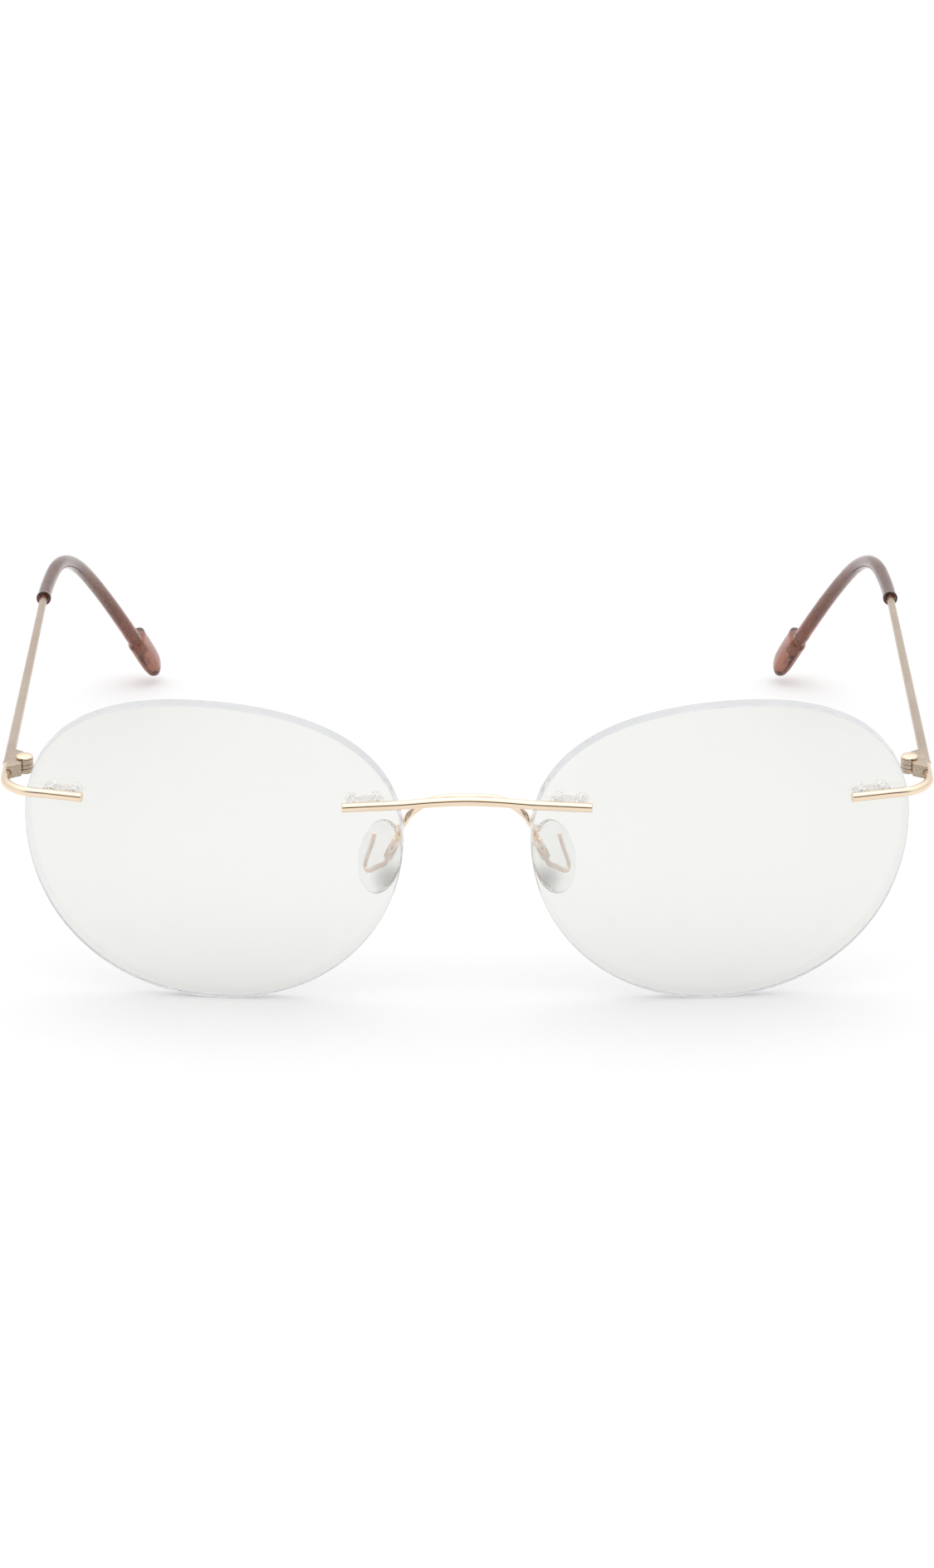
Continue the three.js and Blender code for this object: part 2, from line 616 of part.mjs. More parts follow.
function bridgeCrown(left) {
  const onLens = mountPoint(left.bridgeMount, 0);
  return new THREE.Vector3(0, noseEdge.y - BRIDGE_AHEAD, onLens.z + BRIDGE_RISE);
}

// The bridge lies straight on both lenses and arches over the gap between them.
function bridgeLine(left) {
  const toEdge = BRIDGE_MOUNT.u + LENS_WIDTH / 2 - BRIDGE_LEAVES;
  const onLens = [PIN_SPACING / 2 + BRIDGE_OVERHANG, PIN_SPACING / 2, -toEdge / 2, -toEdge].map((x) =>
    mountPoint(left.bridgeMount, x),
  );
  const edge = onLens.at(-1);
  const crown = bridgeCrown(left);
  const shoulder = crown.clone().lerp(edge, 0.35).setX(edge.x * 0.52);
  const side = [...onLens, shoulder];
  return [...side, crown, ...side.map(mirrored).reverse()];
}

function bridgeGeometry(left, right) {
  const bar = wire(bridgeLine(left), FRONT_WIRE, 44);
  const studs = [left, right].flatMap((half) => pins().map((pin) => inWorld(pin, half.bridgeMount)));
  return join(bar, ...studs);
}

function padArmGeometry(left) {
  const apart = FRONT_WIRE + BRAZE + ARM_WIRE;
  const beside = new THREE.Vector3(0, apart * Math.cos(ARM_SIDE), apart * Math.sin(ARM_SIDE));
  const crown = bridgeCrown(left).add(beside);
  const foot = [-FERRULE_GRIP, -FERRULE_GRIP / 2, 0.2, 0.8].map((out) =>
    left.padFrame.localToWorld(alongFerrule(FERRULE_LENGTH + out)),
  );
  const under = ARM_BENDS.map(([out, back, drop]) =>
    new THREE.Vector3(LENS_GAP / 2 + out, crown.y + back, crown.z - drop),
  );
  const side = [...under, ...foot.reverse()];
  return wire([...side.map(mirrored).reverse(), crown, ...side], ARM_WIRE, 84);
}

// The end-piece lies on the lens front, turns the corner and meets the temple wire end to end.
function endPieceGeometry(half) {
  const mount = half.endMount;
  const toEdge = LENS_WIDTH / 2 - END_MOUNT.u;
  const onLens = [-PIN_SPACING / 2 - END_OVERHANG, -PIN_SPACING / 2, PIN_SPACING / 2, toEdge].map((x) =>
    mountPoint(mount, x),
  );
  const sign = Math.sign(onLens[0].x);
  const edge = onLens.at(-1);
  const cornerOut = TEMPLE_X - Math.abs(edge.x);
  const straightFrom = HINGE_BACK - LEAF_LENGTH.front - 0.8;
  const cornerBack = straightFrom - edge.y;
  const corner = [
    [0.62, 0.3],
    [0.93, 0.62],
    [1, 1],
  ].map(([out, back]) =>
    new THREE.Vector3(
      sign * (Math.abs(edge.x) + out * cornerOut),
      edge.y + back * cornerBack,
      THREE.MathUtils.lerp(edge.z, TEMPLE_HEIGHT, back),
    ),
  );
  const back = [straightFrom + 1.8, HINGE_BACK - 1.2, HINGE_BACK - BUTT_GAP / 2].map(
    (y) => new THREE.Vector3(sign * TEMPLE_X, y, TEMPLE_HEIGHT),
  );
  const bar = wire([...onLens, ...corner, ...back], FRONT_WIRE, 40);
  return join(bar, ...pins().map((pin) => inWorld(pin, mount)));
}

const glasses = new THREE.Group();
const left = frontHalf("left");
const right = frontHalf("right");
glasses.add(left.half, right.half);
glasses.updateMatrixWorld(true);
glasses.add(mesh("bridge_wire", bridgeGeometry(left, right), GOLD));
glasses.add(mesh("pad_arm_wire", padArmGeometry(left), GOLD));
glasses.add(mesh("endpiece_left", endPieceGeometry(left), GOLD));
glasses.add(mesh("endpiece_right", endPieceGeometry(right), GOLD));

// The origin is on the table, under the middle of the whole object.
const bounds = new THREE.Box3().setFromObject(glasses, true);
const middle = bounds.getCenter(new THREE.Vector3());
glasses.position.set(-middle.x, -middle.y, -bounds.min.z);

export default glasses;
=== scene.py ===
import math

import bpy
import numpy as np
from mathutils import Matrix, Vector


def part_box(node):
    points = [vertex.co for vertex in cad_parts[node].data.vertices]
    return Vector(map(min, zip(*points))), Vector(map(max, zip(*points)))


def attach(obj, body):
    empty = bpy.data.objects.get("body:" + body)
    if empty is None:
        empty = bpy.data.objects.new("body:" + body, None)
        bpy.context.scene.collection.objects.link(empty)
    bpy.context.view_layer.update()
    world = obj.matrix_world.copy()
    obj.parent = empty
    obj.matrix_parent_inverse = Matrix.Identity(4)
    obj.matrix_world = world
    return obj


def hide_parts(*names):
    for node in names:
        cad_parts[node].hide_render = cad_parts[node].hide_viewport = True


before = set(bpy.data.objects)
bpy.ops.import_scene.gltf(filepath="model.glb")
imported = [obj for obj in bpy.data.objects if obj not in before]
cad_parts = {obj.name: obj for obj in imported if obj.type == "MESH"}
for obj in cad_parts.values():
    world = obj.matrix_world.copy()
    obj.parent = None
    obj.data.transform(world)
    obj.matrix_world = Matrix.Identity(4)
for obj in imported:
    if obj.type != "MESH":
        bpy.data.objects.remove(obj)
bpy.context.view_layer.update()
print("frame loaded:", len(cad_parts), "solids")

# Shapes are worked out in millimetres, in the maker's own frame: x to the wearer's left, y back from the
# lens fronts, z up from the table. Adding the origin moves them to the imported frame.

wires = {
    "front": 0.65,  # radius of the bridge and the end-pieces
    "padArm": 0.5,
    "padCore": 0.35,
    "templeStart": 0.7,  # at the hinge
    "templeMouth": 0.55,  # where it enters the sleeve
    "templeCore": 0.48,  # inside the sleeve
    "seatGap": 0.08,  # between a wire and the lens it lies on
    "endRounding": 0.12,
    "endDome": 0.04,
    "spacing": 0.22,  # between rings of vertices
    "sides": 40,
}

hinge = {
    "back": 14.6,
    "beyondLens": 2.907,  # temple wire outside the outer edge of the lens
    "overLens": 8.483,  # temple wire above the middle of the lens
    "inside": 2.3,  # pin axis inside the temple wire
    "above": 0.15,  # middle of the hinge above the wire
    "lean": 4.0,
    "buttGap": 0.1,
    "knuckleRadius": 1.22,
    "knuckleOuter": 0.7,
    "knuckleMiddle": 0.5,
    "knuckleGap": 0.05,
    "knuckleRounding": 0.07,
    "roomRounding": 0.02,  # in the gaps that the other leaf's knuckles turn in
    "frontLeaf": 3.6,
    "templeLeaf": 4.3,
    "slant": 0.62,
    "plateInside": 0.3,
    "braze": 0.05,
    "edgeRounding": 0.05,
    "screwRadius": 0.55,
    "screwPlay": 0.05,
    "headRadius": 1.15,
    "headHeight": 0.5,
    "headEdge": 0.05,
    "headRim": 0.35,  # share of its height below the dome
    "screwBevel": 0.08,
    "screwTail": 0.3,  # past the last knuckle
    "slotWidth": 0.26,
    "slotDepth": 0.25,
}


def unit(v):
    return v / np.linalg.norm(v, axis=-1, keepdims=True)


def turned(pitch=0.0, roll=0.0, yaw=0.0):
    # turns about x, then y, then z, in degrees
    a, b, c = np.radians([pitch, roll, yaw])
    aboutX = np.array([[1, 0, 0], [0, np.cos(a), -np.sin(a)], [0, np.sin(a), np.cos(a)]])
    aboutY = np.array([[np.cos(b), 0, np.sin(b)], [0, 1, 0], [-np.sin(b), 0, np.cos(b)]])
    aboutZ = np.array([[np.cos(c), -np.sin(c), 0], [np.sin(c), np.cos(c), 0], [0, 0, 1]])
    return aboutZ @ aboutY @ aboutX


def swungFromY(direction):
    # the least turn that takes +y to a direction
    x, y, z = unit(np.asarray(direction, float))
    across = np.array([[0, x, 0], [-x, 0, -z], [0, z, 0]])
    return np.eye(3) + across + across @ across / (1 + y)


def smoothLine(points, ease=0.35, step=0.05):
    # A curve through the points whose spans are timed by the root of their length, taken at even steps and
    # then eased by a running average, so that its bends have no corners.
    p = np.array(points, float)
    p = np.vstack([2 * p[0] - p[1], p, 2 * p[-1] - p[-2]])
    knots = np.concatenate([[0], np.cumsum(np.linalg.norm(np.diff(p, axis=0), axis=1) ** 0.5)])
    i = np.arange(len(p) - 3)[:, None]
    k0, k1, k2, k3 = (knots[i + n] for n in range(4))
    p0, p1, p2, p3 = (p[i + n] for n in range(4))
    k = k1 + (k2 - k1) * np.linspace(0, 1, 60, endpoint=False)

    def between(a, b, ka, kb):
        w = ((k - ka) / (kb - ka))[..., None]
        return a * (1 - w) + b * w

    a1, a2, a3 = between(p0, p1, k0, k1), between(p1, p2, k1, k2), between(p2, p3, k2, k3)
    curve = between(between(a1, a2, k0, k2), between(a2, a3, k1, k3), k1, k2)
    curve = np.vstack([curve.reshape(-1, 3), p[-2]])
    even = np.arange(0, lengths(curve)[-1], step)
    line = at(curve, even)
    line = np.vstack([line, curve[-1]])
    reach = int(3 * ease / step)
    weight = np.exp(-0.5 * (np.arange(-reach, reach + 1) * step / ease) ** 2)
    weight /= weight.sum()
    before = 2 * line[0] - line[reach:0:-1]
    after = 2 * line[-1] - line[-2:-reach - 2:-1]
    padded = np.vstack([before, line, after])
    return np.stack([np.convolve(padded[:, n], weight, "valid") for n in range(3)], 1)


def lengths(line):
    return np.concatenate([[0], np.cumsum(np.linalg.norm(np.diff(line, axis=0), axis=1))])


def at(line, distances):
    along = lengths(line)
    return np.stack([np.interp(distances, along, line[:, n]) for n in range(3)], 1)


def rodStations(length, radius, spacing, rounding, dome):
    # Distances along a rod and its radius there, pole to pole: a faintly domed end face, a rounded rim, the
    # shaft, and the same at the other end.
    face = np.linspace(0, 1, 5)
    rim = np.radians(np.linspace(15, 90, 6))
    out = np.concatenate([dome * face ** 2, dome + rounding * (1 - np.cos(rim))])
    cap = np.concatenate([(radius - rounding) * face, radius - rounding * (1 - np.sin(rim))])
    count = max(2, int((length - 2 * out[-1]) / spacing))
    shaft = np.linspace(out[-1], length - out[-1], count + 1)[1:-1]
    distances = np.concatenate([out, shaft, length - out[::-1]])
    return distances, np.concatenate([cap, np.full(len(shaft), radius), cap[::-1]])


def ringsAlong(line, distances, radii, reference, sides):
    # A circle carried along a line. Its first spoke is the reference direction, laid square to the line.
    tangent = np.gradient(line, axis=0)
    along = lengths(line)
    tangent = unit(np.stack([np.interp(distances, along, tangent[:, n]) for n in range(3)], 1))
    spoke = unit(reference - tangent * (tangent @ np.asarray(reference, float))[:, None])
    other = np.cross(tangent, spoke)
    turn = 2 * np.pi * np.arange(sides) / sides
    circle = np.cos(turn)[:, None] * spoke[:, None] + np.sin(turn)[:, None] * other[:, None]
    return at(line, distances)[:, None] + radii[:, None, None] * circle


def skin(rings, reach):
    # One closed skin over rings of points, the first and last of them shrunk to a pole. Its grain map holds
    # the reach along the piece and the share of the way round.
    n, m = rings.shape[:2]
    points = np.vstack([rings[0, :1], rings[1:-1].reshape(-1, 3), rings[-1, :1]])
    j = np.arange(m)
    k = (j + 1) % m
    row = 1 + np.arange(n - 3)[:, None] * m
    quads = np.stack([row + j, row + k, row + m + k, row + m + j], -1).reshape(-1, 4)
    last = 1 + (n - 3) * m
    end = len(points) - 1
    fans = np.vstack([np.stack([0 * j, 1 + k, 1 + j], -1), np.stack([0 * j + end, last + j, last + k], -1)])
    near = np.broadcast_to(reach[1:-2, None], (n - 3, m))
    far = np.broadcast_to(reach[2:-1, None], (n - 3, m))
    low = np.broadcast_to(j / m, (n - 3, m))
    high = low + 1 / m
    quadGrain = np.stack([near, low, near, high, far, high, far, low], -1).reshape(-1, 2)
    a, b = j / m, (j + 1) / m
    one = np.ones(m)
    startGrain = np.stack([one * reach[0], (a + b) / 2, one * reach[1], b, one * reach[1], a], -1)
    endGrain = np.stack([one * reach[-1], (a + b) / 2, one * reach[-2], a, one * reach[-2], b], -1)
    grain = np.vstack([quadGrain, startGrain.reshape(-1, 2), endGrain.reshape(-1, 2)])
    return {"points": points, "faces": quads.tolist() + fans.tolist(), "grain": grain}


def joined(*shells):
    offsets = np.cumsum([0] + [len(s["points"]) for s in shells])
    faces = [[v + int(off) for v in face] for s, off in zip(shells, offsets) for face in s["faces"]]
    return {
        "points": np.vstack([s["points"] for s in shells]),
        "faces": faces,
        "grain": np.vstack([s["grain"] for s in shells]),
    }


def placed(shell, matrix=None, move=(0, 0, 0)):
    points = shell["points"] if matrix is None else shell["points"] @ np.asarray(matrix).T
    return {**shell, "points": points + np.asarray(move, float)}


def rod(line, radius, reference=(0, 0, 1), rounding=wires["endRounding"], sides=wires["sides"]):
    distances, radii = rodStations(lengths(line)[-1], radius, wires["spacing"], rounding, wires["endDome"])
    return skin(ringsAlong(line, distances, radii, reference, sides), distances)


def lathe(profile, sides=64):
    # A profile of (radius, height) pairs turned round the y axis, pole to pole.
    profile = np.array(profile, float)
    turn = 2 * np.pi * np.arange(sides) / sides
    ring = np.stack([np.cos(turn), 0 * turn, np.sin(turn)], -1)
    rings = profile[:, :1, None] * ring + profile[:, 1:, None] * np.array([0, 1, 0])
    return skin(rings, profile[:, 1])


def barrel(radius, low, high, rounding=0.03, sides=64):
    # a round bar along y with rounded rims
    rim = np.radians(np.linspace(0, 90, 5))
    out = radius - rounding + rounding * np.sin(rim)
    lowRim = np.stack([out, low + rounding * (1 - np.cos(rim))], -1)
    highRim = np.stack([out[::-1], high - rounding * (1 - np.cos(rim[::-1]))], -1)
    return lathe(np.vstack([[0, low], lowRim, highRim, [0, high]]), sides)


def prism(outline, low, high):
    # an outline in x and y, raised from one height to another
    m = len(outline)
    base = np.column_stack([outline, np.full(m, low)])
    top = np.column_stack([outline, np.full(m, high)])
    sides = [[i, (i + 1) % m, m + (i + 1) % m, m + i] for i in range(m)]
    faces = [list(range(m))[::-1], [m + i for i in range(m)], *sides]
    return {"points": np.vstack([base, top]), "faces": faces, "grain": np.zeros((sum(map(len, faces)), 2))}


def volume(points, faces):
    # six times the volume that the faces shut in: positive when they face out
    corners = np.array([[f[0], f[n], f[n + 1]] for f in faces for n in range(1, len(f) - 1)])
    a, b, c = (points[corners[:, n]] for n in range(3))
    return np.einsum("ij,ij->", a, np.cross(b, c))


def facingOut(shell):
    if volume(shell["points"] - shell["points"].mean(0), shell["faces"]) > 0:
        return shell
    starts = np.cumsum([0] + [len(f) for f in shell["faces"]])
    order = np.concatenate([np.arange(s + len(f) - 1, s - 1, -1) for s, f in zip(starts, shell["faces"])])
    return {**shell, "faces": [f[::-1] for f in shell["faces"]], "grain": shell["grain"][order]}


def putIn(name, data):
    made = bpy.data.objects.new(name, data)
    bpy.context.scene.collection.objects.link(made)
    return made


def meshOf(name, shell):
    made = bpy.data.meshes.new(name)
    made.from_pydata(shell["points"].tolist(), [], shell["faces"])
    made.uv_layers.new(name="grain").data.foreach_set("uv", shell["grain"].astype(np.float32).ravel())
    return made


def carved(base, added=(), removed=(), rounding=0.0):
    # Solids joined to a base and cut from it, with the new edges rounded: the modifiers' result as a shell.
    scratch = []

    def scratchObject(shell):
        scratch.append(putIn("scratch", meshOf("scratch", facingOut(shell))))
        return scratch[-1]

    body = scratchObject(base)
    for operation, tools in (("UNION", added), ("DIFFERENCE", removed)):
        for tool in tools:
            step = body.modifiers.new("solid", "BOOLEAN")
            step.operation = operation
            step.solver = "MANIFOLD"
            step.object = scratchObject(tool)
    if rounding:
        bevel = body.modifiers.new("rounding", "BEVEL")
        bevel.width = rounding
        bevel.segments = 3
        bevel.limit_method = "ANGLE"
        bevel.angle_limit = math.radians(35)
        bevel.use_clamp_overlap = True
    result = body.evaluated_get(bpy.context.evaluated_depsgraph_get()).to_mesh()
    points = np.empty(len(result.vertices) * 3)
    result.vertices.foreach_get("co", points)
    faces = [list(p.vertices) for p in result.polygons]
    grain = np.zeros((len(result.loops), 2))
    shell = {"points": points.reshape(-1, 3), "faces": faces, "grain": grain}
    for made in scratch:
        mesh = made.data
        bpy.data.objects.remove(made)
        bpy.data.meshes.remove(mesh)
    return shell


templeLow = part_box("temple_wire_left")[0]
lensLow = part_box("lens_left")[0]
origin = np.array([0, templeLow[1] * 1000 - hinge["back"] - hinge["buttGap"] / 2, lensLow[2] * 1000])


def addPiece(name, shell, node, body, materials, sharpFrom=38, mirror=False, faceKinds=None):
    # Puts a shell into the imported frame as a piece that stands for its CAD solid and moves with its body.
    points = shell["points"] * ([-1, 1, 1] if mirror else [1, 1, 1])
    seated = facingOut({**shell, "points": (points + origin) / 1000})
    made = meshOf(name, seated)
    made.polygons.foreach_set("use_smooth", np.ones(len(made.polygons), bool))
    made.set_sharp_from_angle(angle=math.radians(sharpFrom))
    for material in materials:
        made.materials.append(material)
    if faceKinds is not None:
        made.polygons.foreach_set("material_index", faceKinds.astype(np.int32))
    piece = putIn(name, made)
    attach(piece, body)
    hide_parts(node)
    return piece


def addPair(name, shell, node, body, materials, sharpFrom=38, faceKinds=None):
    # The same piece on both sides, mirrored on the right. Anything not on the front rides its own temple.
    pieces = []
    for side, mirror in (("left", False), ("right", True)):
        rides = body if body == "front" else side + "_temple"
        pieces.append(addPiece(name + side.title(), shell, node + side, rides, materials,
                               sharpFrom, mirror, faceKinds))
    return pieces


def newShader(name, **values):
    material = bpy.data.materials.new(name)
    material.use_nodes = True
    nodes = material.node_tree.nodes
    shader = nodes["Principled BSDF"]
    for socket, value in values.items():
        shader.inputs[socket.replace("_", " ")].default_value = value
    return material, nodes, material.node_tree.links, shader


def noiseOn(nodes, links, vector, scale, detail=3.0, stretch=None, roughness=0.5):
    # noise over a coordinate output, stretched by a mapping where one is given
    noise = nodes.new("ShaderNodeTexNoise")
    noise.inputs["Scale"].default_value = scale
    noise.inputs["Detail"].default_value = detail
    noise.inputs["Roughness"].default_value = roughness
    if stretch:
        mapping = nodes.new("ShaderNodeMapping")
        mapping.inputs["Scale"].default_value = stretch
        links.new(vector, mapping.inputs["Vector"])
        vector = mapping.outputs["Vector"]
    links.new(vector, noise.inputs["Vector"])
    return noise.outputs["Fac"]


def spread(nodes, links, value, low, high, toLow, toHigh):
    ranged = nodes.new("ShaderNodeMapRange")
    for socket, number in (("From Min", low), ("From Max", high), ("To Min", toLow), ("To Max", toHigh)):
        ranged.inputs[socket].default_value = number
    links.new(value, ranged.inputs["Value"])
    return ranged.outputs["Result"]


def mixed(nodes, links, factor, first, second):
    # a mix of two colours, each of them given as numbers or as an output
    mix = nodes.new("ShaderNodeMix")
    mix.data_type = "RGBA"
    for socket, colour in (("A", first), ("B", second)):
        if isinstance(colour, bpy.types.NodeSocket):
            links.new(colour, mix.inputs[socket])
        else:
            mix.inputs[socket].default_value = (*colour, 1)
    links.new(factor, mix.inputs["Factor"])
    return mix.outputs["Result"]


def bumped(nodes, links, shader, height, strength, distance):
    bump = nodes.new("ShaderNodeBump")
    bump.inputs["Strength"].default_value = strength
    bump.inputs["Distance"].default_value = distance
    links.new(height, bump.inputs["Height"])
    links.new(bump.outputs["Normal"], shader.inputs["Normal"])


patchy = (0.35, 0.65)  # noise values between which one tone gives way to another


def metalFinish(name, look):
    # Plated wire: a tone that drifts along it, drawing lines that run with the grain map, faint pits, and a
    # roughness that changes with both.
    material, nodes, links, shader = newShader(name, Metallic=1.0)
    grain = nodes.new("ShaderNodeUVMap")
    grain.uv_map = "grain"
    place = nodes.new("ShaderNodeTexCoord").outputs["Object"]
    drift = noiseOn(nodes, links, place, look["driftScale"])
    warmth = spread(nodes, links, drift, *patchy, 0, 1)
    links.new(mixed(nodes, links, warmth, look["tone"], look["warm"]), shader.inputs["Base Color"])
    lines = noiseOn(nodes, links, grain.outputs["UV"], 1.0, 4.0, (0.5, look["lineCount"], 1), 0.7)
    pits = noiseOn(nodes, links, place, look["pitScale"], 2.0)
    total = nodes.new("ShaderNodeMath")
    total.operation = "ADD"
    links.new(lines, total.inputs[0])
    links.new(pits, total.inputs[1])
    low, high = look["roughness"]
    links.new(spread(nodes, links, total.outputs["Value"], 0.7, 1.3, low, high), shader.inputs["Roughness"])
    bumped(nodes, links, shader, total.outputs["Value"], look["lineDepth"], 0.00002)
    return material


polishedGold = metalFinish("polishedGold", {
    "tone": (0.885, 0.725, 0.56), "warm": (0.86, 0.69, 0.52), "driftScale": 160,
    "lineCount": 60, "pitScale": 5200, "roughness": (0.05, 0.12), "lineDepth": 0.04,
})
satinGold = metalFinish("satinGold", {
    "tone": (0.55, 0.45, 0.355), "warm": (0.49, 0.385, 0.295), "driftScale": 120,
    "lineCount": 90, "pitScale": 4200, "roughness": (0.22, 0.32), "lineDepth": 0.03,
})
pinGold = metalFinish("pinGold", {
    "tone": (0.96, 0.90, 0.84), "warm": (0.94, 0.86, 0.79), "driftScale": 300,
    "lineCount": 40, "pitScale": 4200, "roughness": (0.55, 0.70), "lineDepth": 0.03,
})
roseGold = metalFinish("roseGold", {
    "tone": (0.97, 0.86, 0.79), "warm": (0.95, 0.79, 0.69), "driftScale": 300,
    "lineCount": 50, "pitScale": 4200, "roughness": (0.34, 0.46), "lineDepth": 0.01,
})


def lampsPass(material, nodes, links, shader, tint):
    # lamps reach what is behind clear pieces, so their shadows stay faint
    path = nodes.new("ShaderNodeLightPath")
    clear = nodes.new("ShaderNodeBsdfTransparent")
    clear.inputs["Color"].default_value = (*tint, 1)
    mix = nodes.new("ShaderNodeMixShader")
    links.new(path.outputs["Is Shadow Ray"], mix.inputs["Fac"])
    links.new(shader.outputs["BSDF"], mix.inputs[1])
    links.new(clear.outputs["BSDF"], mix.inputs[2])
    links.new(mix.outputs["Shader"], nodes["Material Output"].inputs["Surface"])


def clearFinish(name, look):
    # Clear moulded plastic: a tint that clouds a little, and a surface that is polished with faint smears.
    material, nodes, links, shader = newShader(
        name, IOR=look["ior"], Transmission_Weight=look["through"], Specular_IOR_Level=look["specular"])
    place = nodes.new("ShaderNodeTexCoord").outputs["Object"]
    cloud = noiseOn(nodes, links, place, look["cloudScale"])
    cloudiness = spread(nodes, links, cloud, *patchy, 0, 1)
    links.new(mixed(nodes, links, cloudiness, look["tint"], look["cloudy"]), shader.inputs["Base Color"])
    smear = noiseOn(nodes, links, place, look["smearScale"], 4.0, look["smearStretch"])
    low, high = look["roughness"]
    links.new(spread(nodes, links, smear, 0.45, 0.75, low, high), shader.inputs["Roughness"])
    bumped(nodes, links, shader, smear, look["ripple"], 0.00001)
    lampsPass(material, nodes, links, shader, look["shade"])
    return material


lensClear = clearFinish("lensClear", {
    "tint": (0.850, 0.853, 0.832), "cloudy": (0.840, 0.847, 0.822), "cloudScale": 30, "ior": 1.53,
    "through": 1.0, "specular": 0.35, "smearScale": 60, "smearStretch": (1, 1, 0.4),
    "roughness": (0.0, 0.02), "ripple": 0.0, "shade": (0.96, 0.96, 0.96),
})
lensRim = clearFinish("lensRim", {
    "tint": (0.70, 0.705, 0.74), "cloudy": (0.63, 0.64, 0.68), "cloudScale": 90, "ior": 1.28,
    "through": 0.85, "specular": 0.4, "smearScale": 700, "smearStretch": (1, 1, 1),
    "roughness": (0.15, 0.32), "ripple": 0.1, "shade": (0.90, 0.90, 0.93),
})
clearPlastic = clearFinish("clearPlastic", {
    "tint": (0.99, 0.97, 0.955), "cloudy": (0.96, 0.94, 0.925), "cloudScale": 500, "ior": 1.14,
    "through": 0.84, "specular": 0.3, "smearScale": 900, "smearStretch": (1, 1, 1),
    "roughness": (0.08, 0.20), "ripple": 0.1, "shade": (0.92, 0.92, 0.92),
})
silicone = clearFinish("clearSilicone", {
    "tint": (0.985, 0.99, 0.985), "cloudy": (0.93, 0.94, 0.94), "cloudScale": 420, "ior": 1.25,
    "through": 0.86, "specular": 0.5, "smearScale": 500, "smearStretch": (1, 1, 0.5),
    "roughness": (0.08, 0.20), "ripple": 0.2, "shade": (0.90, 0.90, 0.91),
})


def paintedShadePatch(material, centre, reach, grey):
    # A patch of painted shade: the tint made greyer, fading out from a point and its mirror image.
    nodes, links = material.node_tree.nodes, material.node_tree.links
    shader = nodes["Principled BSDF"]
    clean = shader.inputs["Base Color"].links[0].from_socket
    apart = nodes.new("ShaderNodeSeparateXYZ")
    links.new(nodes.new("ShaderNodeTexCoord").outputs["Object"], apart.inputs["Vector"])
    oneSide = nodes.new("ShaderNodeMath")
    oneSide.operation = "ABSOLUTE"
    links.new(apart.outputs["X"], oneSide.inputs[0])
    folded = nodes.new("ShaderNodeCombineXYZ")
    links.new(oneSide.outputs["Value"], folded.inputs["X"])
    links.new(apart.outputs["Y"], folded.inputs["Y"])
    links.new(apart.outputs["Z"], folded.inputs["Z"])
    away = nodes.new("ShaderNodeVectorMath")
    away.operation = "DISTANCE"
    away.inputs[1].default_value = centre
    links.new(folded.outputs["Vector"], away.inputs[0])
    # painted shade: the tint turns grey near the point and fades out over the reach
    wearAndPaintedShade = spread(nodes, links, away.outputs["Value"], *reach, 1, 0)
    links.new(mixed(nodes, links, wearAndPaintedShade, clean, grey), shader.inputs["Base Color"])


def sleeveFinish():
    # Brown see-through plastic: streaks of denser colour along it, small nicks, and a gloss worn dull in
    # patches.
    look = {"thin": (0.42, 0.165, 0.112), "dense": (0.19, 0.075, 0.052), "streaks": 9,
            "roughness": (0.03, 0.13), "shade": (0.55, 0.47, 0.43)}
    material, nodes, links, shader = newShader(
        "brownSleeve", IOR=1.46, Transmission_Weight=0.92, Coat_Weight=0.3, Coat_Roughness=0.08)
    grain = nodes.new("ShaderNodeUVMap")
    grain.uv_map = "grain"
    place = nodes.new("ShaderNodeTexCoord").outputs["Object"]
    streak = noiseOn(nodes, links, grain.outputs["UV"], 1.0, 3.0, (0.12, look["streaks"], 1), 0.6)
    density = spread(nodes, links, streak, 0.35, 0.68, 0, 1)
    links.new(mixed(nodes, links, density, look["thin"], look["dense"]), shader.inputs["Base Color"])
    # patches where the gloss is worn dull: roughness and bumps only
    wearAndPaintedShade = noiseOn(nodes, links, place, 420, 5.0)
    low, high = look["roughness"]
    links.new(spread(nodes, links, wearAndPaintedShade, 0.42, 0.72, low, high), shader.inputs["Roughness"])
    bumped(nodes, links, shader, wearAndPaintedShade, 0.4, 0.0001)
    lampsPass(material, nodes, links, shader, look["shade"])
    return material


brownSleeve = sleeveFinish()
print("finishes made")


lens = {
    "width": 51.5,
    "height": 43.8,
    "thickness": 2.0,
    "radius": 106.0,  # of the front; both faces share one centre
    "gap": 17.0,  # between the lenses, at the nose
    "wrap": 5.0,
    "tilt": 5.0,
    "outerRise": 4.4,
    "noseRise": 2.3,
    "topShift": 3.2,
    "bottomShift": -0.6,
    "fullness": ((0.66, 0.59), (0.6, 0.64), (0.48, 0.65), (0.57, 0.59)),
    "bevel": 0.16,
    "perArc": 56,
    "rings": 16,
}

mounts = {
    "pinSpacing": 3.2,
    "pinRadius": 0.45,
    "pinPlay": 0.05,
    "barrelWall": 0.25,
    "barrelPlay": 0.06,
    "ringWall": 0.23,
    "head": 1.2,  # how far the bush stands out behind the lens
    "bandThickness": 0.7,
    "bandWidth": 1.2,
    "seat": 0.12,
    "ringRounding": 0.16,
    "bandShort": 0.03,  # the band ends this far short of the pin axes
    "bandLift": 0.02,
    "barrelRecess": 0.3,
    "barrelInRing": 0.35,
    "flare": 0.12,
    "flareDepth": 0.14,
    "pinRecess": 0.15,
    "pinSunk": 0.3,  # how far the pins start inside the wire
    "pinRounding": 0.15,
    "bridge": (4.85 - lens["width"] / 2, 7.95),
    "end": (lens["width"] / 2 - 4.95, 8.35),
    "bridgeOverhang": 1.8,
    "endOverhang": 2.0,
}


def frontSag(r):
    return lens["radius"] - np.sqrt(lens["radius"] ** 2 - r ** 2)


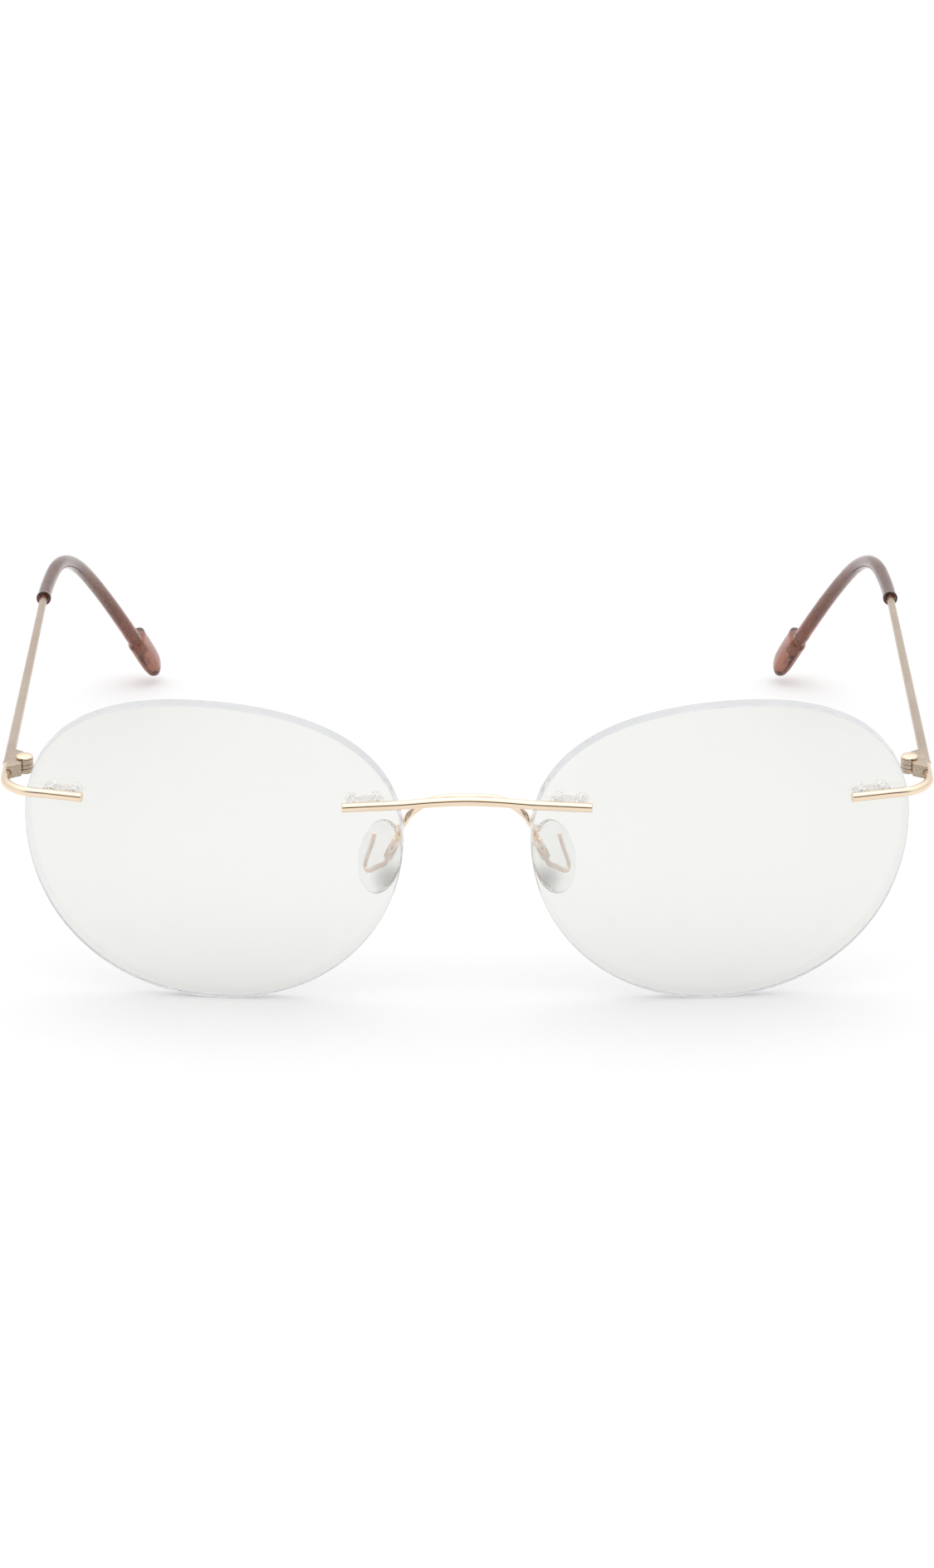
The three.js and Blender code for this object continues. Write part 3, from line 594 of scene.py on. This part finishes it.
def backSag(r):
    return lens["radius"] - np.sqrt((lens["radius"] - lens["thickness"]) ** 2 - r ** 2)


def lensOutline(perArc):
    # four quarter curves, level or upright where they meet: outer side, top, nose side, bottom
    halfW, halfH = lens["width"] / 2, lens["height"] / 2
    stations = np.array([[halfW, lens["outerRise"]], [lens["topShift"], halfH], [-halfW, lens["noseRise"]],
                         [lens["bottomShift"], -halfH], [halfW, lens["outerRise"]]])
    t = np.linspace(0, 1, perArc, endpoint=False)[:, None]
    quarters = []
    for i, (leave, arrive) in enumerate(lens["fullness"]):
        start, end = stations[i], stations[i + 1]
        upright = np.array([0, 1]) if i % 2 == 0 else np.array([1, 0])
        first = start + (end - start) * leave * upright
        second = end - (end - start) * arrive * (1 - upright)
        quarters.append(start * (1 - t) ** 3 + 3 * first * t * (1 - t) ** 2
                        + 3 * second * t ** 2 * (1 - t) + end * t ** 3)
    return np.vstack(quarters)


lensTurn = turned(lens["tilt"], 0, lens["wrap"])
outline = lensOutline(lens["perArc"])
edgeRadius = np.linalg.norm(outline, axis=1)
edgePoints = np.vstack([np.column_stack([outline[:, 0], sag(edgeRadius), outline[:, 1]]) @ lensTurn.T
                        for sag in (frontSag, backSag)])
noseEdge = edgePoints[edgePoints[:, 0].argmin()]
lensPlace = np.array([lens["gap"] / 2 - noseEdge[0], 0, -edgePoints[:, 2].min()])
templeX = lensPlace[0] + edgePoints[:, 0].max() + hinge["beyondLens"]
templeZ = lensPlace[2] + hinge["overLens"]


def mountTurn(mount):
    u, v = mount
    sag = frontSag(math.hypot(u, v))
    return swungFromY([-u, lens["radius"] - sag, -v]), np.array([u, sag, v])


def fromMount(points, mount):
    # from a mount's own frame, whose y axis runs straight through the lens, to the maker's frame
    matrix, place = mountTurn(mount)
    return (np.asarray(points, float) @ matrix.T + place) @ lensTurn.T + lensPlace


boreRadius = mounts["pinRadius"] + mounts["pinPlay"]
barrelRadius = boreRadius + mounts["barrelWall"]
holeRadius = barrelRadius + mounts["barrelPlay"]
ringRadius = barrelRadius + mounts["ringWall"]
headStart = lens["thickness"] + mounts["seat"]
headEnd = headStart + mounts["head"]
pinXs = (-mounts["pinSpacing"] / 2, mounts["pinSpacing"] / 2)


def lensShell():
    # A meniscus: its outline shrunk towards the middle over the front face, a small bevel, the edge band
    # straight back, the other bevel, and the back face to its own middle.
    shrink = 1 - lens["bevel"] / edgeRadius
    share = np.sin(np.linspace(0, np.pi / 2, lens["rings"]))
    levels = [(s * shrink, frontSag(s * shrink * edgeRadius)) for s in share]
    levels.append((np.ones(len(outline)), frontSag(edgeRadius) + lens["bevel"]))
    levels.append((np.ones(len(outline)), backSag(edgeRadius) - lens["bevel"]))
    levels += [(s * shrink, backSag(s * shrink * edgeRadius)) for s in share[::-1]]
    u, v = outline.T
    rings = np.array([np.column_stack([u * s, depth, v * s]) for s, depth in levels])
    solid = skin(rings, np.linspace(0, 1, len(rings)))
    drills = []
    for mount in (mounts["bridge"], mounts["end"]):
        matrix, place = mountTurn(mount)
        for x in pinXs:
            drill = placed(barrel(holeRadius, -2, 2 * lens["thickness"] + 1, sides=48), move=(x, 0, 0))
            drills.append(placed(drill, matrix, place))
    return carved(solid, removed=drills)


def lensFaces(shell):
    # 0 for the polished faces, 1 for the edge, its bevels and the walls of the holes
    middles = np.array([shell["points"][f].mean(0) for f in shell["faces"]])
    normals = []
    for f in shell["faces"]:
        p = shell["points"][f]
        normals.append(np.cross(p, np.roll(p, -1, 0)).sum(0))
    normals = unit(np.array(normals))
    spoke = unit(middles - [0, lens["radius"], 0])
    return (np.abs(np.einsum("ij,ij->i", normals, spoke)) < 0.97).astype(int)


def polishFaces(piece, mirror):
    # exact normals on the two polished faces, so that nothing seen through them is broken up
    made = piece.data
    centre = np.array([0, lens["radius"], 0]) @ lensTurn.T + lensPlace
    centre = (centre * ([-1, 1, 1] if mirror else [1, 1, 1]) + origin) / 1000
    points = np.empty(len(made.vertices) * 3)
    made.vertices.foreach_get("co", points)
    points = points.reshape(-1, 3)
    corner = np.empty(len(made.loops), int)
    made.loops.foreach_get("vertex_index", corner)
    sizes = np.array([p.loop_total for p in made.polygons])
    kinds = np.repeat([p.material_index for p in made.polygons], sizes)
    faceNormals = np.repeat(np.array([p.normal for p in made.polygons]), sizes, axis=0)
    spoke = unit(points[corner] - centre)
    side = np.sign(np.einsum("ij,ij->i", spoke, faceNormals))[:, None]
    made.normals_split_custom_set(np.where(kinds[:, None] == 0, spoke * side, 0).tolist())


lensBody = lensShell()
lensKinds = lensFaces(lensBody)
lensSeated = placed(lensBody, lensTurn, lensPlace)
lenses = addPair("lens", lensSeated, "lens_", "front", [lensClear, lensRim], 25, lensKinds)
for piece, mirror in zip(lenses, (False, True)):
    polishFaces(piece, mirror)
print("lenses made")


def bushShell():
    # Two rings joined by a band behind the lens, each with a barrel in its hole and a flared bore.
    def ring(x):
        return placed(barrel(ringRadius, headStart, headEnd, mounts["ringRounding"]), move=(x, 0, 0))

    reach = pinXs[1] - mounts["bandShort"]
    low, high = headStart + mounts["bandLift"], headStart + mounts["bandThickness"]
    band = prism([(-reach, low), (reach, low), (reach, high), (-reach, high)],
                 -mounts["bandWidth"] / 2, mounts["bandWidth"] / 2)
    ends = (mounts["barrelRecess"], headStart + mounts["barrelInRing"])
    barrels = [placed(barrel(barrelRadius, *ends), move=(x, 0, 0)) for x in pinXs]
    mouth = boreRadius + mounts["flare"]
    flare = [[0, -1], [boreRadius, -1], [boreRadius, headEnd - mounts["flareDepth"]],
             [mouth, headEnd + 0.01], [mouth, headEnd + 1], [0, headEnd + 1]]
    bores = [placed(lathe(flare), move=(x, 0, 0)) for x in pinXs]
    return carved(ring(pinXs[0]), [ring(pinXs[1]), band, *barrels], bores)


def pinLines(mount):
    end = headEnd - mounts["pinRecess"]
    return [fromMount(np.linspace([x, -mounts["pinSunk"], 0], [x, end, 0], 60), mount) for x in pinXs]


bushBody = bushShell()
for mount, label in ((mounts["bridge"], "bridge"), (mounts["end"], "endpiece")):
    seated = {**bushBody, "points": fromMount(bushBody["points"], mount)}
    addPair(label + "Bush", seated, label + "_bush_", "front", [clearPlastic], 30)

pinRod = {mount: joined(*[rod(line, mounts["pinRadius"], rounding=mounts["pinRounding"])
                          for line in pinLines(mounts[mount])]) for mount in ("bridge", "end")}
print("bushes made")


bridge = {"rise": 0.3, "ahead": 2.35, "overEdge": 0.3, "shoulderOut": 0.52, "shoulderShare": 0.35}
standoff = wires["front"] + wires["seatGap"]


def onMount(mount, xs):
    return fromMount([[x, -standoff, 0] for x in xs], mount)


def mirrored(points):
    return np.asarray(points) * [-1, 1, 1]


def pinFaces(bar, shell):
    # 0 for the bar, 1 for the duller pins that were joined to it
    return (np.arange(len(shell["faces"])) >= len(bar["faces"])).astype(int)


toNose = mounts["bridge"][0] + lens["width"] / 2 - bridge["overEdge"]
onLens = onMount(mounts["bridge"], [pinXs[1] + mounts["bridgeOverhang"], pinXs[1], -toNose / 2, -toNose])
overMount = onMount(mounts["bridge"], [0])[0]
crown = np.array([0, noseEdge[1] - bridge["ahead"], overMount[2] + bridge["rise"]])
shoulder = crown + (onLens[-1] - crown) * bridge["shoulderShare"]
shoulder[0] = onLens[-1][0] * bridge["shoulderOut"]
halfBridge = np.vstack([onLens, shoulder])
bridgeLine = smoothLine(np.vstack([halfBridge, crown, mirrored(halfBridge)[::-1]]))
mirrorPins = placed(pinRod["bridge"], np.diag([-1.0, 1, 1]))
bridgeBar = rod(bridgeLine, wires["front"], reference=(0, 1, 0))
bridgeShell = joined(bridgeBar, facingOut(pinRod["bridge"]), facingOut(mirrorPins))
addPiece("bridgeWire", bridgeShell, "bridge_wire", "front", [polishedGold, pinGold],
         faceKinds=pinFaces(bridgeBar, bridgeShell))

pad = {
    "length": 10.4,
    "width": 7.2,
    "bulge": 1.35,
    "flat": 0.95,
    "place": (lens["gap"] / 2 + 3.5, 11.6, lensPlace[2] - 3.4),
    "turn": (6.0, -14.0, -50.0),
    # the next three set a patch of painted shade on the pads: its greyest point, how far it fades, and its
    # grey
    "wearAndPaintedShade": (-1.4, -1.5, -2.7),  # the greyest point, from the middle
    "paintedShadeReach": (0.8, 3.0),
    "paintedShadeGrey": (0.50, 0.50, 0.49),
    "ferruleTop": (0.55, -2.55, 3.5),
    "ferruleFoot": (0.35, -1.7, 0.4),
    "ferruleRadius": 0.69,
    "ferruleRim": 0.12,
    "ferruleTaper": 0.04,
    "waistDepth": 0.10,
    "waistAt": 0.62,  # share of the ferrule's length, as is its reach
    "waistReach": 0.07,
    "ferruleGrip": 1.3,  # how far each wire reaches into the ferrule
    "armLeaves": (0.8, 0.2),
    "coreLeaves": (-0.3, -0.8),
    "coreInside": ((0.1, -0.1, -1.45), (0, 0.7, -2.15), (0, 1.25, -2.42), (0, 1.78, -2.1), (0, 1.9, -1.2),
                   (0, 1.65, 0.6), (0, 1.56, 2.8)),
}
padTurn = turned(*pad["turn"])


def fromPad(points):
    return np.asarray(points, float) @ padTurn.T + pad["place"]


ferruleTop, ferruleFoot = np.array(pad["ferruleTop"]), np.array(pad["ferruleFoot"])
ferruleLength = np.linalg.norm(ferruleTop - ferruleFoot)
ferruleAxis = unit(ferruleTop - ferruleFoot)


def alongFerrule(distances):
    return ferruleFoot + np.outer(distances, ferruleAxis)


arm = {
    "side": 8.0,  # it lies behind the bridge, and this far above level
    "braze": 0.05,
    # outwards from the lens's nose side, then back and down from its own middle
    "bends": ((-5, 0, 0.1), (-3.8, 0.1, 0.5), (-2.6, 0.25, 1.1), (-1.6, 0.45, 1.9), (-0.6, 1.1, 3),
              (0, 2.2, 4.4), (0.4, 3.8, 5.6), (0.8, 6, 6.3)),
}
apart = wires["front"] + arm["braze"] + wires["padArm"]
armSide = math.radians(arm["side"])
armCrown = crown + apart * np.array([0, math.cos(armSide), math.sin(armSide)])
bends = np.array([[lens["gap"] / 2 + out, armCrown[1] + back, armCrown[2] - drop]
                  for out, back, drop in arm["bends"]])
footOut = (*pad["armLeaves"], -pad["ferruleGrip"] / 2, -pad["ferruleGrip"])
foot = fromPad(alongFerrule([ferruleLength + out for out in footOut]))
halfArm = np.vstack([bends, foot])
armLine = smoothLine(np.vstack([mirrored(halfArm)[::-1], armCrown, halfArm]), 0.3)
addPiece("padArmWire", rod(armLine, wires["padArm"], reference=(0, 1, 0)), "pad_arm_wire", "front",
         [polishedGold])

endPiece = {
    "cornerShape": ((0.62, 0.3), (0.93, 0.62), (1, 1)),  # shares of the way out and back
    "straightBefore": 0.8,
    "afterCorner": 1.8,
    "beforeEnd": 1.2,
}
toOuter = lens["width"] / 2 - mounts["end"][0]
endOnLens = onMount(mounts["end"], [pinXs[0] - mounts["endOverhang"], pinXs[0], pinXs[1], toOuter])
edge = endOnLens[-1]
straightFrom = hinge["back"] - hinge["frontLeaf"] - endPiece["straightBefore"]
corner = [[edge[0] + out * (templeX - edge[0]), edge[1] + back * (straightFrom - edge[1]),
           edge[2] + back * (templeZ - edge[2])] for out, back in endPiece["cornerShape"]]
straight = [[templeX, y, templeZ] for y in (straightFrom + endPiece["afterCorner"],
                                            hinge["back"] - endPiece["beforeEnd"],
                                            hinge["back"] - hinge["buttGap"] / 2)]
endLine = smoothLine(np.vstack([endOnLens, corner, straight]))
endBar = rod(endLine, wires["front"])
endShell = joined(endBar, facingOut(pinRod["end"]))
addPair("endPiece", endShell, "endpiece_", "front", [polishedGold, pinGold],
        faceKinds=pinFaces(endBar, endShell))
print("front wires made")


def padShell():
    # An oval cushion: a flat for the nose with a rounded rim, then a full round back. Each ring is the oval
    # outline shrunk by a share that follows the profile.
    flatShare = math.sqrt(1 - (pad["flat"] / pad["bulge"]) ** 2)
    face = np.linspace(0, 1, 12)[:-1]
    swell = np.linspace(-math.asin(pad["flat"] / pad["bulge"]), math.pi / 2, 40)
    share = np.concatenate([face * flatShare, np.cos(swell)])
    depth = np.concatenate([np.full(len(face), -pad["flat"]), pad["bulge"] * np.sin(swell)])
    samples, eased = 400, 11
    marks = np.linspace(0, len(share) - 1, samples)
    window = np.hanning(2 * eased + 1)
    window /= window.sum()
    pick = np.linspace(0, samples - 1, 70).astype(int)

    def rounded(values, past):
        # a running average, the values carried past both poles with their sign kept or turned
        fine = np.interp(marks, np.arange(len(values)), values)
        carried = np.concatenate([past * fine[eased:0:-1], fine, past * fine[-2:-eased - 2:-1]])
        return np.convolve(carried, window, "valid")[pick]

    share, depth = rounded(share, -1), rounded(depth, 1)
    share[[0, -1]] = 0
    turn = 2 * np.pi * np.arange(96) / 96
    rings = np.stack([
        depth[:, None] + 0 * turn,
        share[:, None] * np.cos(turn) * pad["width"] / 2,
        share[:, None] * np.sin(turn) * pad["length"] / 2,
    ], -1)
    return skin(rings, np.linspace(0, 1, len(rings)))


def ferruleShell():
    # A short tube pressed onto the wire: rounded ends, a crimped waist and a fuller foot.
    height = np.linspace(0, ferruleLength, 60)
    share = height / ferruleLength
    waist = pad["waistDepth"] * np.exp(-((share - pad["waistAt"]) / pad["waistReach"]) ** 2)
    radius = pad["ferruleRadius"] - waist - pad["ferruleTaper"] * share
    rim = pad["ferruleRim"]
    nearEnd = np.minimum(height, ferruleLength - height)
    inRim = np.clip(1 - nearEnd / rim, 0, 1)
    radius = radius - rim * (1 - np.sqrt(1 - inRim ** 2 * 0.98))
    profile = np.vstack([[0, 0], np.column_stack([radius, height]), [0, ferruleLength]])
    return placed(lathe(profile, 48), swungFromY(ferruleAxis), ferruleFoot)


coreGripped = alongFerrule([pad["ferruleGrip"], pad["ferruleGrip"] / 2, *pad["coreLeaves"]])
coreLine = smoothLine(np.vstack([coreGripped, pad["coreInside"]]), 0.2)
coreRod = rod(coreLine, wires["padCore"], reference=(1, 0, 0), sides=28)
padPieces = {
    "nosePad": (padShell(), "nose_pad_", "clear_silicone", silicone),
    "padCore": (coreRod, "pad_core_", "rose_gold", roseGold),
    "padFerrule": (ferruleShell(), "pad_ferrule_", "rose_gold", roseGold),
}
for name, (shell, node, slotName, finish) in padPieces.items():
    seated = {**shell, "points": fromPad(shell["points"])}
    addPair(name, seated, node, "front", [finish])
# a patch of painted shade on the pads' silicone, greyest low down towards the nose
paintedShadeMiddle = (np.array(pad["place"]) + pad["wearAndPaintedShade"] + origin) / 1000
paintedShadePatch(silicone, paintedShadeMiddle, [reach / 1000 for reach in pad["paintedShadeReach"]], pad["paintedShadeGrey"])
print("nose pads made")


stackHalf = hinge["knuckleMiddle"] / 2 + hinge["knuckleGap"] + hinge["knuckleOuter"]
plateHalf = stackHalf - hinge["headRadius"] * math.tan(math.radians(hinge["lean"]))
upright = np.array([[1, 0, 0], [0, 0, -1], [0, 1, 0]])  # takes a piece made along y to z
hingeLean = turned(hinge["lean"], 0, 0)
hingePlace = np.array([templeX - hinge["inside"], hinge["back"], templeZ + hinge["above"]])


def knuckle(level, play=0.0):
    middle = level * ((hinge["knuckleMiddle"] + hinge["knuckleOuter"]) / 2 + hinge["knuckleGap"])
    half = (hinge["knuckleMiddle"] if level == 0 else hinge["knuckleOuter"]) / 2 + play
    rounding = hinge["roomRounding"] if play else hinge["knuckleRounding"]
    bar = barrel(hinge["knuckleRadius"] + play, middle - half, middle + half, rounding)
    return placed(bar, hingeLean @ upright)


def leafShell(direction, length, wireRadius, ownLevels, otherLevels):
    # A plate brazed to the wire, longest where it meets the wire, with its own knuckles on it.
    butt = direction * hinge["buttGap"] / 2
    outside = hinge["inside"] - hinge["braze"]
    plan = [(hinge["plateInside"], butt), (outside, butt), (outside, direction * length),
            (hinge["plateInside"], direction * length * hinge["slant"])]
    plate = prism(plan, -plateHalf, plateHalf)
    rooms = [knuckle(level, hinge["knuckleGap"]) for level in otherLevels]
    bore = placed(barrel(hinge["screwRadius"] + hinge["screwPlay"], -2 * stackHalf, 2 * stackHalf),
                  hingeLean @ upright)
    groove = placed(barrel(wireRadius + hinge["braze"], -2 * length, 2 * length), None,
                    (hinge["inside"], 0, -hinge["above"]))
    trimmed = carved(carved(plate, rounding=hinge["edgeRounding"]), removed=rooms)
    return carved(trimmed, [knuckle(level) for level in ownLevels], [bore, groove])


def screwShell():
    # A domed head over a round shank that ends in a turning slot.
    seat = stackHalf + hinge["knuckleGap"]
    sweep = np.radians(np.linspace(0, 90, 14))
    head, tall = hinge["headRadius"], hinge["headHeight"]
    rim, edge = hinge["headRim"], hinge["headEdge"]
    dome = [[head * math.cos(a), seat + tall * (rim + (1 - rim) * math.sin(a))] for a in sweep[1:]]
    low = -stackHalf - hinge["screwTail"]
    shank, bevel = hinge["screwRadius"], hinge["screwBevel"]
    profile = [[0, low], [shank - bevel, low], [shank, low + bevel], [shank, seat], [head - edge, seat],
               [head, seat + edge], [head, seat + rim * tall], *dome]
    half, bottom = hinge["slotWidth"] / 2, low + hinge["slotDepth"]
    slotCut = prism([(-1, -half), (1, -half), (1, half), (-1, half)], -stackHalf - 1, bottom)
    return placed(carved(placed(lathe(profile), upright), removed=[slotCut]), hingeLean)


hingePieces = {
    "frontLeaf": (leafShell(-1, hinge["frontLeaf"], wires["front"], (-1, 1), (0,)), "front_hinge_leaf_",
                  "front", "satin_gold", satinGold),
    "templeLeaf": (leafShell(1, hinge["templeLeaf"], wires["templeStart"], (0,), (-1, 1)),
                   "temple_hinge_leaf_", "temple", "satin_gold", satinGold),
    "hingeScrew": (screwShell(), "hinge_screw_", "front", "polished_gold", polishedGold),
}
for name, (shell, node, body, slotName, finish) in hingePieces.items():
    addPair(name, placed(shell, None, hingePlace), node, body, [finish], 32)
print("hinges made")


temple = {
    "straight": 73.0,
    "sleeve": 64.4,
    "bendStart": 12.5,
    "bendRadius": 34.4,
    "bendLength": 22.4,
    "dropRadius": 53.7,
    "inwardRadius": 147.0,
    "mouthRadius": 1.08,
    "lip": 0.8,
    "sleeveRadius": 0.98,
    "swell": 0.17,
    "paddle": 8.4,
    "shoulder": 1.0,
    "blunt": 8,  # higher for a blunter end
    "thick": 1.45,
    "wide": 2.4,
    "shift": 0.75,
    "corePast": 3.2,
    "coreFrom": (0.5, 1.5), # inside the mouth, where the wire thins to the core
    "coreRounding": 0.12,  # shares of its radius
    "coreDome": 0.04,
    "mouthRecess": 0.45,
    "mouthRounding": 0.12,
    "squareness": 0.16,  # of the paddle's section
    "step": 0.1,
    "spacing": 0.6,
}
templeLength = temple["straight"] + temple["sleeve"]


def templeAxes(distance):
    # The temple leaves the hinge straight back, bends down over the ear in two arcs, and turns in slowly.
    past = np.maximum(0, distance - temple["straight"])
    pitch = (np.clip(past - temple["bendStart"], 0, temple["bendLength"]) / temple["bendRadius"]
             + np.maximum(0, past - temple["bendStart"] - temple["bendLength"]) / temple["dropRadius"])
    yaw = past / temple["inwardRadius"]
    along = np.stack([-np.sin(yaw), np.cos(yaw) * np.cos(pitch), -np.cos(yaw) * np.sin(pitch)], -1)
    down = np.stack([0 * pitch, -np.sin(pitch), -np.cos(pitch)], -1)
    return along, down, np.cross(along, down)


stepCount = int(templeLength / temple["step"]) + 2
middles = (np.arange(stepCount) + 0.5) * temple["step"]
templeLine = np.vstack([[0, 0, 0], np.cumsum(templeAxes(middles)[0] * temple["step"], 0)])
templePlace = np.array([templeX, hinge["back"], templeZ])


def roundTemple(distances, across, down, sides, power=1, shift=0):
    # An oval carried along the temple, given its half sizes across and down at each distance.
    reach = np.arange(len(templeLine)) * temple["step"]
    centre = np.stack([np.interp(distances, reach, templeLine[:, n]) for n in range(3)], 1)
    _, downAxis, acrossAxis = templeAxes(distances)
    turn = 2 * np.pi * np.arange(sides) / sides
    power, shift = (np.broadcast_to(value, len(distances))[:, None] for value in (power, shift))
    cosine, sine = (np.sign(wave) * np.abs(wave) ** power for wave in (np.cos(turn), np.sin(turn)))
    rings = (centre[:, None] + (across[:, None] * cosine)[..., None] * acrossAxis[:, None]
             + (down[:, None] * sine - shift)[..., None] * downAxis[:, None])
    return skin(rings + templePlace, distances)


def smoothStep(value, low, high):
    t = np.clip((value - low) / (high - low), 0, 1)
    return t * t * (3 - 2 * t)


coreEnd = templeLength - temple["paddle"] + temple["corePast"]


def templeWireShell():
    start = hinge["buttGap"] / 2
    distances, cap = rodStations(coreEnd - start, 1.0, temple["spacing"], temple["coreRounding"],
                                 temple["coreDome"])
    distances = distances + start
    taper = np.clip(distances / temple["straight"], 0, 1)
    radius = wires["templeStart"] + (wires["templeMouth"] - wires["templeStart"]) * taper
    inside = smoothStep(distances, *[temple["straight"] + reach for reach in temple["coreFrom"]])
    radius = (radius + (wires["templeCore"] - radius) * inside) * cap
    return roundTemple(distances, radius, radius, 32)


def sleeveShell():
    # A tube with a lip round its mouth. It swells a little, then steps out over a shoulder into a flat
    # paddle with a round end.
    mouth = temple["straight"]
    paddleStart = templeLength - temple["paddle"]
    rim = np.radians(np.linspace(0, 90, 6))
    lipR = temple["mouthRadius"]
    into = wires["templeMouth"]
    recess, rounding, lip = temple["mouthRecess"], temple["mouthRounding"], temple["lip"]
    opening = [(recess, 0), (recess, into * 0.8), (recess - 0.05, into + 0.1), (0.06, into + 0.14),
               (0, into + 0.2)]
    opening += [(rounding * (1 - math.cos(a)), lipR - rounding * (1 - math.sin(a))) for a in rim]
    opening += [(lip - 0.1, lipR), (lip - 0.02, lipR - 0.03), (lip + 0.05, 0.95)]
    opening = np.array(opening)
    tube = np.arange(mouth + temple["lip"] + 0.3, paddleStart - 0.2, temple["spacing"])
    shoulder = np.linspace(paddleStart - 0.1, paddleStart + temple["shoulder"] + 0.1, 18)
    left = np.linspace(1, 0, 46) ** 2 * (temple["paddle"] - temple["shoulder"] - 0.5)
    distances = np.concatenate([mouth + opening[:, 0], tube, shoulder, templeLength - left])
    swell = np.clip((distances - mouth) / (paddleStart - mouth), 0, 1)
    full = temple["sleeveRadius"] + temple["swell"] * swell
    full[:len(opening)] = opening[:, 1]
    share = smoothStep(distances, paddleStart, paddleStart + temple["shoulder"])
    rest = np.maximum(0, templeLength - distances) / temple["paddle"]
    end = np.sqrt(np.clip(1 - (1 - rest) ** temple["blunt"], 0, 1))
    across = full * (1 - share) + temple["thick"] * end * share
    down = full * (1 - share) + temple["wide"] * end * share
    power = 1 - temple["squareness"] * share
    return roundTemple(distances, across, down, 48, power, temple["shift"] * share * end)


templePieces = {
    "templeWire": (templeWireShell(), "temple_wire_", "satin_gold", satinGold),
    "templeSleeve": (sleeveShell(), "temple_sleeve_", "brown_sleeve", brownSleeve),
}
for name, (shell, node, slotName, finish) in templePieces.items():
    addPair(name, shell, node, "temple", [finish])
print("temples made")


studio = {
    "tableSize": 6.0,
    "tableColour": (0.82, 0.82, 0.82),
    "tableDrop": 0.00002,  # keeps it clear of what stands on it
    "lampSize": (0.9, 0.7),
    "lampPlace": (0, -0.05, 0.9),
    "lampEnergy": 1.4,
    # share of the way from straight down to straight up, and the brightness there
    "frontWall": ((0.0, 1.0), (0.5, 0.95), (0.55, 0.6), (0.59, 0.2), (0.61, 0.03), (0.69, 0.03),
                  (0.725, 0.35), (0.785, 0.8), (0.83, 1.4), (1.0, 1.4)),
    "frontWallEdge": (-0.8, -0.45),
    "paleHeights": (0.3, 0.7),
    "paleWalls": (0.9, 1.35),
    "aimAhead": 4.63,  # millimetres behind the lens fronts
    "aimHeight": 31.0,
    "distance": 0.8,
    "elevation": 20.0,
    "lens": 135.76,
}


def addTable():
    half = studio["tableSize"] / 2
    made = bpy.data.meshes.new("table")
    corners = [(-half, -half, 0), (half, -half, 0), (half, half, 0), (-half, half, 0)]
    made.from_pydata(corners, [], [(0, 1, 2, 3)])
    material, nodes, links, shader = newShader("tablePaper", Roughness=0.9)
    place = nodes.new("ShaderNodeTexCoord").outputs["Object"]
    fibre = noiseOn(nodes, links, place, 400, 4.0)
    shaded = [c * 0.99 for c in studio["tableColour"]]
    links.new(mixed(nodes, links, fibre, studio["tableColour"], shaded), shader.inputs["Base Color"])
    made.materials.append(material)
    table = putIn("table", made)
    table.location.z = -studio["tableDrop"]


def addStudioLight():
    # A pale room with a bright ceiling. Only its front wall has a dark band, at mid height.
    world = bpy.data.worlds.new("studio")
    bpy.context.scene.world = world
    world.use_nodes = True
    nodes, links = world.node_tree.nodes, world.node_tree.links
    direction = nodes.new("ShaderNodeTexCoord").outputs["Generated"]
    split = nodes.new("ShaderNodeSeparateXYZ")
    links.new(direction, split.inputs["Vector"])
    height = spread(nodes, links, split.outputs["Z"], -1, 1, 0, 1)
    ramp = nodes.new("ShaderNodeValToRGB")
    links.new(height, ramp.inputs["Fac"])
    stops = studio["frontWall"]
    marks = ramp.color_ramp.elements
    for mark, (_, value) in ((marks[0], stops[0]), (marks[1], stops[-1])):
        mark.color = (value, value, value, 1)
    for position, value in stops[1:-1]:
        marks.new(position).color = (value, value, value, 1)
    behind = spread(nodes, links, split.outputs["Y"], *studio["frontWallEdge"], 0, 1)
    pale = spread(nodes, links, split.outputs["Z"], *studio["paleHeights"], *studio["paleWalls"])
    room = mixed(nodes, links, behind, ramp.outputs["Color"], pale)
    seen = nodes.new("ShaderNodeLightPath").outputs["Is Camera Ray"]
    links.new(mixed(nodes, links, seen, room, (1, 1, 1)), nodes["Background"].inputs["Color"])

    lamp = bpy.data.lights.new("softbox", "AREA")
    lamp.shape = "RECTANGLE"
    lamp.size, lamp.size_y = studio["lampSize"]
    lamp.energy = studio["lampEnergy"]
    putIn("softbox", lamp).location = studio["lampPlace"]


def addCamera():
    aim = np.array([0, origin[1] + studio["aimAhead"], studio["aimHeight"]]) / 1000
    up = math.radians(studio["elevation"])
    camera = bpy.data.cameras.new("camera")
    camera.lens = studio["lens"]
    camera.sensor_width = 36
    made = putIn("camera", camera)
    made.location = aim + studio["distance"] * np.array([0, -math.cos(up), math.sin(up)])
    made.rotation_euler = (math.pi / 2 - up, 0, 0)
    bpy.context.scene.camera = made


addTable()
addStudioLight()
addCamera()
bpy.context.scene.view_settings.view_transform = "Standard"
print("studio made")
